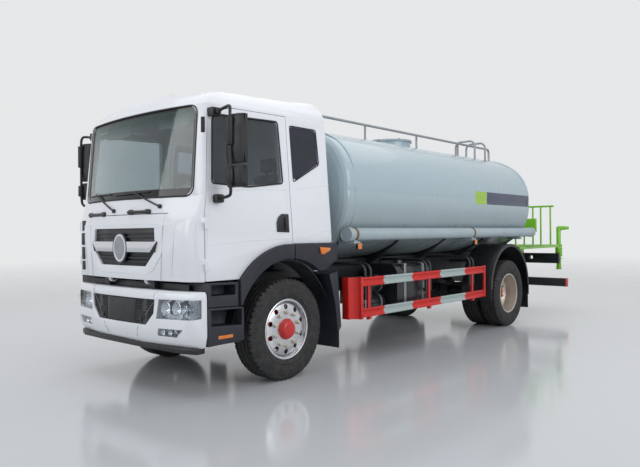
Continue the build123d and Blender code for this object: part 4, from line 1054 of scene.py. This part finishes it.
BOWL = [(0, 12), (-10, 30), (-26, 48), (-44, 60), (-47, 60), (-46, 63), (-26, 52), (-8, 34), (4, 12)]
LAMPS = [
    # bowl's x, z, size
    (672, 785, 1.12), (812, 790, 1.05), (905, 788, 0.7), (640, 570, 0.5), (730, 570, 0.45),
]
parts, bulbs = [], []
for x, z, size in LAMPS:
    front = from_front(x, z, -8, BUMPER_FACE)[1]
    section = [(along * size, radius * size) for along, radius in BOWL]
    parts.append(turned(section, (x, front + 48 * size, z), (0, 1, 0), 40))
    bulbs.append(rod((x, front + 14, z), (x, front + 48 * size, z), 11 * size, 16, 3))
pair(parts, "lamp_bowls", "chassis", CHROME)
pair(bulbs, "lamp_bulbs", "chassis", CLEAR_LENS)

parts = []
for k in range(7):
    x = 962 + 14 * k
    at = from_front(x, 785, -9, BUMPER_FACE)
    parts.append(rod((x, at[1], 700), (x, at[1], 862), 6, 10))
pair(parts, "marker_ribs", "chassis", CLEAR_LENS)
print(len(LAMPS) * 2, "lamp bowls")

# %% [markdown]
# ## Doors and sides
# Each door has a dark recessed handle with an upright grab. Two pressed creases run back along the cab's
# side, an amber marker lamp sits on the flare behind the door, and a short dark slot marks the pillar.

# %% Handles, creases and markers
def left_plate(points, out, depth, bevel):
    """A thin plate on the left side with an outline of (y, z), sunk by depth from out."""
    return outline([from_left(y, z, out) for y, z in points], bevel, 2, (-depth, 0, 0))


HANDLE = ((-160, 1462), (-160, 1552), (-136, 1606), (-88, 1638), (6, 1638), (6, 1456))
RECESS = ((-138, 1480), (-138, 1545), (-116, 1590), (-80, 1614), (-14, 1614), (-14, 1478))
pair(left_plate(HANDLE, 8, 10, 5), "door_handle_plate", "door_{side}", DARK_PLASTIC)
pair(left_plate(RECESS, 10, 4, 1), "door_handle_recess", "door_{side}", SEAL_RUBBER)
grab = [from_left(-52, z, out) for z, out in ((1484, 8), (1496, 20), (1596, 20), (1608, 8))]
pair(tube(grab, 11), "door_grab", "door_{side}", BLACK_PLASTIC)

CREASE = ((-985, 1353), (-560, 1382), (8, 1400), (200, 1406), (640, 1486))
BELT = ((-960, 1862), (-673, 1848), (48, 1882), (650, 1962))
for name, points in (("crease", CREASE), ("belt", BELT)):
    for where, low, high, body in (("door", -1000, 48, "door_{side}"), ("cab", 66, 660, "cab")):
        bead = [(y, z) for y, z in stepped(points, 60, closed=False) if low <= y <= high]
        raised = line([from_left(y, z, -3.5) for y, z in bead], 6, sides=3)
        pair(raised, f"{where}_{name}", body, WHITE_PAINT, 60)

AMBER_MARK = ((412, 1304), (578, 1292), (566, 1262), (466, 1224), (428, 1232))
marker = outline([(1120, y, z) for y, z in AMBER_MARK], 6, 2, (16, 0, 0))
pair(marker, "side_marker", "cab", AMBER)
PILLAR_SLOT = ((-974, 2345), (-956, 2345), (-946, 2486), (-964, 2486))
pair(left_plate(PILLAR_SLOT, 5, 9, 1), "pillar_slot", "cab", SEAL_RUBBER)
print("door handles, creases, markers")

# %% [markdown]
# ## Mirrors
# Each side has a tall mirror over a short wide-angle one. Their rounded housings hang on one bent tube that
# passes in front of them, between a ribbed mount above the window and a block below it.

# %% Mirrors
HEAD_MIDDLE, HEAD_HALF = 1291, 107


def mirror_head(low, high):
    """One housing, crowned at its front, with a round rib in which the tube runs."""
    shell = slab((HEAD_MIDDLE - HEAD_HALF, HEAD_MIDDLE + HEAD_HALF), (-902, -806), (low, high))
    edit(shell, (bpy.ops.mesh.subdivide, {"number_cuts": 3}))
    for vertex in shell.data.vertices:
        across = (vertex.co.x / MM - HEAD_MIDDLE) / HEAD_HALF
        up = (vertex.co.z / MM - (low + high) / 2) / ((high - low) / 2)
        if vertex.co.y < AXLE_Y - 0.86:  # only the front face
            vertex.co.y += 0.030 * across**4 + 0.016 * up**4
    modify(shell, "BEVEL", width=30 * MM, segments=4, limit_method="ANGLE", angle_limit=math.radians(50))
    rib = rod((1290, -916, (low + high) / 2 - 60), (1290, -916, high - 30), 30, 24, 8)
    return joined([shell, rib])


heads = [mirror_head(2060, 2478), mirror_head(1852, 2034)]
upper = [(1100, -880, 2530), (1230, -890, 2556), (1285, -905, 2545)]
upright = [(1290, -912, z) for z in (2480, 2200, 1960, 1860)]
lower = [(1285, -905, 1790), (1230, -890, 1768), (1100, -880, 1760)]
swinging = joined(heads + [tube(upper + upright + lower, 14)])
GLASS_Z = ((2078, 2460), (1868, 2018))
glasses = joined([slab((1200, 1382), (-808, -801), heights, 3) for heights in GLASS_Z])
mounts = [slab((1058, 1120), (-925, -835), (1722, 1798), 14)]
for k in range(5):
    mounts.append(slab((985, 1075), (-922 + 19 * k, -909 + 19 * k), (2492, 2568), 4))
mounts.append(rod((1000, -880, 2530), (1105, -880, 2530), 20, 20, 4))
mounts.append(rod((1100, -880, 2508), (1100, -880, 2556), 22, 20, 4))
mounts = joined(mounts)
MIRROR_BLACK = surface("mirror_housing", "dark_trim", (22, 24, 28), 0.52, grain=1500, bump=0.14)
MIRROR_GLASS = surface(
    "mirror_glass", "dark_trim", (200, 206, 212), 0.04, metallic=1.0, drift=0.02, grain=5, bump=0.01
)
left_arm = joined([swinging, mounts])
right_arm, right_glass = reflected(left_arm), reflected(glasses)
for side, arm, face in (("left", left_arm, glasses), ("right", right_arm, right_glass)):
    body = BODY_OF["mirror_" + side]
    finish(arm, "mirror_housings_" + side, body, MIRROR_BLACK, 40)
    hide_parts("mirror_" + side)
    finish(face, "mirror_glass_" + side, body, MIRROR_GLASS)
print("mirrors")

# %% [markdown]
# ## Steps, arches and roof
# The steps have tread plates and an orange reflector. A black liner closes each front wheel arch from above,
# and a small grey dome stands on the roof.

# %% Steps and arches
treads = joined([slab((905, 1092), (-985, -640), (low, low + 6), 2) for low in (470, 806)])
pair(treads, "step_treads", "chassis", STEP_PLATE)
pair(slab((1093, 1099), (-901, -736), (520, 550), 3), "step_reflector", "chassis", AMBER)

ARCH_R, ARCH_X = 684, (785, 1018)
arc = [(math.cos(math.radians(a)), math.sin(math.radians(a))) for a in range(-2, 183, 8)]
outer = [(ARCH_X[0], ARCH_R * c, HUB_Z + ARCH_R * s) for c, s in arc]
inner = [(ARCH_X[0], (ARCH_R - 8) * c, HUB_Z + (ARCH_R - 8) * s) for c, s in reversed(arc)]
liner = outline([p for p in outer + inner if p[1] < 590 or p[2] > 700], 0, 1, (ARCH_X[1] - ARCH_X[0], 0, 0))
pair(liner, "arch_liner", "cab", BLACK_PLASTIC, 30)

BEACON = [(0, 0), (0, 62), (14, 66), (24, 60), (40, 50), (52, 34), (58, 0)]
beacon = turned(BEACON, (0, -560, 2846), (0, 0, 1), 32)
finish(beacon, "roof_beacon", "cab", NUT_STEEL)
# painted shade: a black sheet in the gap between the cab and the bumper stands in for the shade there
finish(slab((-880, 880), (-1052, -1044), (934, 1000)), "cab_gap_painted_shade", "chassis", BLACK_PLASTIC)
print("steps, arch liners, roof dome")

# %% [markdown]
# ## The tank
# The tank's shell is rolled plate with domed heads. A rolled rim and a weld seam ring each end, and two more
# seams ring the body. The rings follow the shell's own section, a little squarer than an ellipse.

# %% Tank seams
TANK_HALF, TANK_Z, TANK_POWER = (1125, 780), 1910, 2.5


def tank_ring(y, grow, turns=96):
    """Points round the tank's section at y, moved out by grow."""
    points = []
    for k in range(turns):
        angle = 2 * math.pi * k / turns
        c, s = math.cos(angle), math.sin(angle)
        x = math.copysign(abs(c) ** (2 / TANK_POWER), c) * (TANK_HALF[0] + grow)
        z = math.copysign(abs(s) ** (2 / TANK_POWER), s) * (TANK_HALF[1] + grow)
        points.append((x, y, TANK_Z + z))
    return points


SEAMS = [
    # where along the tank, how far out of the shell, bead radius
    (1016, 2, 7), (1060, -3, 5), (5490, -3, 5), (5534, 1, 6), (2560, -3.4, 5), (4060, -3.4, 5),
]
parts = [line(tank_ring(y, grow), radius, closed=True) for y, grow, radius in SEAMS]
finish(parts, "tank_seams", "chassis", TANK_PAINT, 60)
print(len(SEAMS), "rims and seams")

# %% [markdown]
# ## The manhole
# The manhole stands on top of the tank. Its lid closes a short flanged neck, and small red clamps hold it.

# %% Manhole
MANHOLE_Y, CLAMP_RING = 3280, 286
NECK = [(0, 262), (0, 276), (78, 276), (78, 296), (90, 296), (90, 262)]
neck = turned(NECK, (0, MANHOLE_Y, 2680), (0, 0, 1), 56)
finish(neck, "manhole_neck", "chassis", TUBE_PAINT)
parts = []
for k in range(6):
    angle = math.radians(30 + 60 * k)
    x, y = CLAMP_RING * math.cos(angle), MANHOLE_Y + CLAMP_RING * math.sin(angle)
    if y > MANHOLE_Y + 240:  # the hinge is there
        continue
    parts.append(rod((x, y, 2776), (x, y, 2806), 11, 12, 2))
    parts.append(rod((x, y, 2803), (x * 1.06, y, 2812), 7, 10, 1))
finish(parts, "manhole_clamps", "manhole_lid", RED_PAINT)
print("manhole neck and clamps")

# %% [markdown]
# ## Storage tubes
# A long capped tube runs along each flank under the tank. Tan straps hold it on small brackets, each with an
# orange reflector below, and a thin hinged cap closes each end.

# %% Tube straps
TUBE_X, TUBE_Z = 1090, 1430
straps, brackets, reflectors, boards = [], [], [], []
for y in (1010, 3700):
    for offset in (-16, 0, 16):
        straps.append(hoop(-4, 4, 72, 77, (TUBE_X, y + offset, TUBE_Z)))
    brackets.append(slab((930, 1150), (y - 55, y + 55), (1332, 1350), 4))
    boards.append(slab((1118, 1146), (y + 8, y + 82), (1262, 1334), 4))
    reflectors.append(slab((1146, 1152), (y + 12, y + 78), (1266, 1330), 3))
pair(straps, "tube_straps", "chassis", BRASS)
pair(brackets, "tube_brackets", "chassis", TUBE_PAINT)
pair(boards, "reflector_boards", "chassis", CHASSIS_PAINT)
pair(reflectors, "tube_reflectors", "chassis", AMBER)
cap = turned([(0, 0), (0, 60), (-6, 74), (-16, 79), (10, 79), (10, 0)], (TUBE_X, 905, TUBE_Z), (0, 1, 0), 40)
pair(cap, "tube_caps", "chassis", TUBE_PAINT)
print("tube straps, boards and caps")

# %% [markdown]
# ## Under the tank
# Between the guards and the frame sit a strapped fuel tank, ribbed air tanks and a battery box with a lid.
# The silencer has end seams and two clamps.

# %% Straps, bands and lids
straps = []
for y in (2080, 2480):
    straps.append(slab((546, 1054), (y - 24, y + 24), (1056, 1063), 2))
    straps.append(slab((1048, 1055), (y - 24, y + 24), (497, 1063), 2))
    straps.append(slab((546, 1054), (y - 24, y + 24), (497, 504), 2))
finish(straps, "fuel_straps", "chassis", RAIL_STEEL)
FUEL_CAP = [(0, 0), (0, 46), (30, 46), (36, 40), (40, 18), (46, 14), (46, 0)]
finish(turned(FUEL_CAP, (900, 2150, 1062), (0, 0, 1), 32), "fuel_cap", "chassis", BLACK_PLASTIC)
bands = [hoop(-14, 14, 104, 109, (800, y, z)) for z in (600, 820) for y in (1470, 1790)]
finish(bands, "air_tank_bands", "chassis", RAIL_STEEL)
lid = slab((-1056, -464), (1112, 1808), (950, 966), 5)
catches = [slab((-1064, -1050), (y - 14, y + 14), (900, 962), 3) for y in (1280, 1640)]
finish([lid] + catches, "battery_lid", "chassis", BLACK_PLASTIC)
clamps = [hoop(-18, 18, 169, 175, (-800, y, 740), steps=48) for y in (2080, 2660)]
finish(clamps, "muffler_clamps", "chassis", RAIL_STEEL)
print("tank straps, bands, lid and clamps")

# %% [markdown]
# ## Side guards
# Each guard's rails are pressed with a shallow groove, and small feet hang below its posts.

# %% Guard ribs and feet
ribs = [slab((1166, 1174), (1052, 3980), (low, low + 16), 3) for low in (511, 583, 856, 928)]
pair(ribs, "guard_ribs", "chassis", GUARD_PAINT)
feet = [slab((1128, 1164), (y - 22, y + 22), (478, 508), 4) for y in (1221, 2489, 3632)]
pair(feet, "guard_feet", "chassis", RED_PAINT)
print("guard ribs and feet")

# %% [markdown]
# ## The working platform
# A tread-plate deck hangs behind the tank with a railing round it. A spray gun's pipe stands at each rear
# corner: it has a flanged valve with a dark lever, and ends in a pale turned nozzle.

# %% Platform
finish(slab((-1066, 1066), (5712, 7028), (1195, 1199), 1), "deck_plate", "chassis", TREAD_PLATE)
fittings, levers = [], []
PIPE_X, PIPE_Y = 1005, 7235
for heights, half, outer in (((985, 1060, 1110, 1186), 8, 66), ((740, 780), 6, 54)):
    for z in heights:
        fittings.append(hoop(-half, half, 38, outer, (PIPE_X, PIPE_Y, z), (0, 0, 1), 32))
for z in (1140, 925):
    levers.append(rod((PIPE_X, PIPE_Y, z), (PIPE_X, PIPE_Y + 60, z + 4), 16, 16, 3))
    levers.append(tube([(PIPE_X, PIPE_Y + 50, z + 4), (PIPE_X, PIPE_Y + 100, z + 6), (PIPE_X, 7385, z + 2)], 8))
nozzle = turned(
    [(0, 0), (0, 40), (12, 46), (26, 46), (34, 38), (80, 28), (118, 22), (118, 14), (60, 14), (60, 0)],
    (PIPE_X, PIPE_Y + 34, 1490), (0, 1, 0), 32,
)
pair(fittings, "pipe_flanges", "chassis", GREEN_PAINT)
pair(levers, "pipe_levers", "chassis", CHASSIS_PAINT)
pair(nozzle, "pipe_nozzle", "chassis", RAIL_STEEL)
print("deck plate, valves, levers and nozzles")

# %% [markdown]
# Red caps close the ends of the underrun bar. Three round red lamps sit on each side of the rear beam, next
# to a rimmed hole.

# %% Rear lamps and bars
pair(slab((1172, 1192), (7088, 7196), (425, 580), 6), "underrun_caps", "chassis", RED_PAINT)
DOME = [(0, 0), (0, 40), (8, 42), (16, 36), (20, 0)]
lamps = [turned(DOME, (x, 7148, 890), (0, 1, 0), 32) for x in (645, 745, 845)]
pair(lamps, "tail_lamps", "chassis", RED_LENS)
rings = hoop(-3, 4, 35, 50, (540, 7150, 955), steps=32)
pair(rings, "beam_hole_rims", "chassis", CHASSIS_PAINT)
print("rear lamps and bar ends")

# %% [markdown]
# ## The cab's inside
# Two seats stand on dark pedestals. Each has a padded cushion, back and head rest, with a bead of piping
# round the cushion and the back.

# %% Seats
def cushion(x, y, z):
    """A padded block between pairs of limits, each face drawn in towards its edges."""
    block = slab(x, y, z)
    edit(block, (bpy.ops.mesh.subdivide, {"number_cuts": 7}))
    middle = [(low + high) / 2 for low, high in (x, y, z)]
    half = [(high - low) / 2 for low, high in (x, y, z)]
    for vertex in block.data.vertices:
        at = [vertex.co.x / MM, (vertex.co.y - AXLE_Y) / MM, vertex.co.z / MM]
        share = [(a - m) / h for a, m, h in zip(at, middle, half)]
        moved = []
        for k in range(3):
            others = [share[j] for j in range(3) if j != k]
            full = (1 - others[0] ** 4) * (1 - others[1] ** 4)
            inset = 0.90 + 0.10 * full if k != 0 else 0.94 + 0.06 * full
            moved.append(middle[k] + half[k] * share[k] * inset)
        vertex.co = place(*moved)
    modify(block, "SUBSURF", levels=2, render_levels=2)
    return block


def piping(x, y, z, flat):
    """A bead of piping round a cushion's edge, at the middle of its thickness along the axis flat."""
    limits = [x, y, z]
    (a0, a1), (b0, b1) = [limit for k, limit in enumerate(limits) if k != flat]
    loop = []
    for a, b in rounded([(a0, b0), (a1, b0), (a1, b1), (a0, b1)], 50 if flat == 2 else 60):
        at = [a, b]
        at.insert(flat, sum(limits[flat]) / 2)
        loop.append(at)
    return line(loop, 5, closed=True)


SEAT_X, SEAT_HALF = 570, 226
for side, sign in SIDES.items():
    middle = SEAT_X * sign
    x = (middle - SEAT_HALF, middle + SEAT_HALF)
    inner = (x[0] + 6, x[1] - 6)
    pad = cushion(inner, (-326, 176), (1490, 1638))
    rest = cushion(inner, (194, 316), (1650, 2080))
    head = cushion((middle - 130, middle + 130), (206, 300), (2100, 2246))
    for piece, name in ((pad, "seat_cushion_"), (rest, "seat_back_"), (head, "seat_head_")):
        finish(piece, name + side, "cab", SEAT_CLOTH, 60)
        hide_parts("seats")
    trims = [piping(inner, (-322, 172), (1490, 1638), 2), piping(inner, (194, 316), (1654, 2076), 1)]
    finish(trims, "seat_piping_" + side, "cab", BLACK_PLASTIC, 60)
    base = [slab((x[0] + 30, x[1] - 30), (-290, 150), (1242, 1470), 16)]
    base.append(slab((x[0] + 12, x[1] - 12), (-318, 170), (1466, 1492), 8))
    for dx in (-60, 60):
        base.append(rod((middle + dx, 252, 2060), (middle + dx, 252, 2130), 8, 12))
    base.append(slab((x[0] + 20, x[1] - 20), (180, 200), (1480, 1700), 6))
    finish(base, "seat_base_" + side, "cab", BLACK_PLASTIC)
print("two seats")

# %% [markdown]
# The steering wheel is a round rim on three spokes, square to a column that leans back. The dashboard has a
# hood over the dials, vents and a glove box.

# %% Steering wheel and dashboard
COLUMN = Vector((0, math.sin(math.radians(35)), math.cos(math.radians(35))))
WHEEL_AT = (570, -560, 1850)
turns = [2 * math.pi * k / 12 for k in range(12)]
rim = [(13 + 14 * math.sin(turn), 215 + 14 * math.cos(turn)) for turn in turns]
parts = [turned(rim, WHEEL_AT, COLUMN, 56)]
parts.append(turned([(0, 0), (0, 58), (8, 66), (22, 60), (28, 40), (30, 0)], WHEEL_AT, COLUMN, 32))
across = COLUMN.cross(Vector((1, 0, 0)))
for angle in (0, 180, 270):
    way = Vector((1, 0, 0)) * math.cos(math.radians(angle)) + across * math.sin(math.radians(angle))
    start, end = (Vector(WHEEL_AT) + COLUMN * 12 + way * r for r in (50, 206))
    parts.append(rod(tuple(start), tuple(end), 11, 12, 2))
finish(parts, "steering_wheel_rim", "steering_wheel", DASH_PLASTIC, 50)
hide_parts("steering_wheel")

parts = [slab((390, 750), (-930, -800), (1792, 1872), 26, 4), slab((-300, 300), (-870, -716), (1795, 1812), 8)]
for x in (-640, -460, 60, 240):
    parts.append(slab((x - 60, x + 60), (-708, -694), (1700, 1760), 5))
parts.append(slab((-740, -360), (-706, -696), (1560, 1660), 5))
finish(parts, "dashboard_details", "cab", BLACK_PLASTIC)
visors = [slab((x - 230, x + 230), (-912, -896), (2450, 2580), 6) for x in (-480, 480)]
finish(visors, "sun_visors", "cab", PALE_TRIM)
print("steering wheel, dashboard, sun visors")

# %% [markdown]
# ## Camera
# The camera stands to the left front at eye height, with a normal lens.

# %% Camera
EYE = (5.4059, -7.4886, 1.4489)
SENSOR, LENS = 36, 35.13  # millimetres
YAW, PITCH, ROLL = math.radians(41.623), math.radians(-0.054), math.radians(-0.52)

bpy.ops.object.camera_add(location=EYE)
camera = bpy.context.active_object
forward = Vector((-math.sin(YAW) * math.cos(PITCH), math.cos(YAW) * math.cos(PITCH), math.sin(PITCH)))
level = Vector((math.cos(YAW), math.sin(YAW), 0))
upward = level.cross(forward)
right = level * math.cos(ROLL) + upward * math.sin(ROLL)
up = upward * math.cos(ROLL) - level * math.sin(ROLL)
turned_to = Matrix((right, up, -forward)).transposed()
camera.matrix_world = Matrix.Translation(Vector(EYE)) @ turned_to.to_4x4()
camera.data.sensor_fit = "HORIZONTAL"
camera.data.sensor_width = SENSOR
camera.data.lens = LENS
camera.data.dof.use_dof = False
bpy.context.scene.camera = camera
print("camera at", EYE)

# %% [markdown]
# ## Floor and backdrop
# The floor is pale and slightly glossy. With distance it fades into the backdrop, so no horizon shows.

# %% Floor and backdrop
BACKDROP, BACKDROP_STRENGTH = tone(236, 237, 238), 0.95
FLOOR_SIZE, HAZE = 120, (9, 30)  # metres: its side, and where the fade starts and ends
floor_finish = Finish("studio_floor", "cab_paint", 0.16)
floor_finish.link(floor_finish.coloured(tone(204, 206, 208), 0.01, 0.5), "Base Color")
floor_finish.link(floor_finish.spread(floor_finish.noise(1.2), 0.10, 0.17), "Roughness")
floor_finish.shader.inputs["Specular IOR Level"].default_value = 0.5
distance = floor_finish.add("ShaderNodeVectorMath", {0: floor_finish.where}, operation="LENGTH")
haze = floor_finish.add("ShaderNodeEmission", {"Color": BACKDROP, "Strength": BACKDROP_STRENGTH})
share = floor_finish.spread(distance.outputs["Value"], 0, 1, *HAZE)
shaders = {1: floor_finish.shader.outputs[0], 2: haze.outputs[0]}
fade = floor_finish.add("ShaderNodeMixShader", {0: share, **shaders})
output = floor_finish.tree.nodes["Material Output"]
floor_finish.tree.links.new(fade.outputs[0], output.inputs["Surface"])
bpy.ops.mesh.primitive_plane_add(size=1, location=(0, 0, -0.001))
floor = bpy.context.active_object
floor.name = "studio_floor"
floor.scale = (FLOOR_SIZE, FLOOR_SIZE, 1)
settle(floor)
floor.data.materials.append(floor_finish.material)
print("floor", FLOOR_SIZE, "m square")

# %% [markdown]
# ## Light
# Large soft panels light the truck from above, from the front and from its left. The backdrop lights it all
# round, and looks paler than the light it gives.

# %% Light
def panel(name, at, towards, size, power):
    """A large soft area light at one place, aimed at another."""
    bpy.ops.object.light_add(type="AREA", location=at)
    light = bpy.context.active_object
    light.name = name
    light.data.shape = "RECTANGLE"
    light.data.size, light.data.size_y = size
    light.data.energy = power
    aim = Vector(towards) - Vector(at)
    light.rotation_euler = aim.to_track_quat("-Z", "Y").to_euler()


panel("top_light", (0, 0, 8.0), (0, 0, 0), (10, 14), 330)
panel("left_light", (11, -2, 5.0), (0, -0.5, 1.2), (8, 5), 390)
panel("front_light", (-2, -13, 5.0), (0, -3, 1.4), (8, 5), 300)

world = bpy.data.worlds.new("studio")
bpy.context.scene.world = world
world.use_nodes = True
sky = world.node_tree
background = sky.nodes["Background"]
path = sky.nodes.new("ShaderNodeLightPath")
seen = path.outputs["Is Camera Ray"]
for ray in ("Is Transmission Ray", "Is Glossy Ray"):
    either = sky.nodes.new("ShaderNodeMath")
    either.operation = "MAXIMUM"
    sky.links.new(seen, either.inputs[0])
    sky.links.new(path.outputs[ray], either.inputs[1])
    seen = either.outputs[0]
choice = sky.nodes.new("ShaderNodeMix")
choice.data_type = "RGBA"
sky.links.new(seen, choice.inputs[0])
choice.inputs[6].default_value = tone(178, 182, 188)
choice.inputs[7].default_value = BACKDROP
sky.links.new(choice.outputs[2], background.inputs["Color"])
background.inputs["Strength"].default_value = BACKDROP_STRENGTH

bpy.context.scene.view_settings.view_transform = "Standard"
print(len(bpy.data.lights), "light panels")
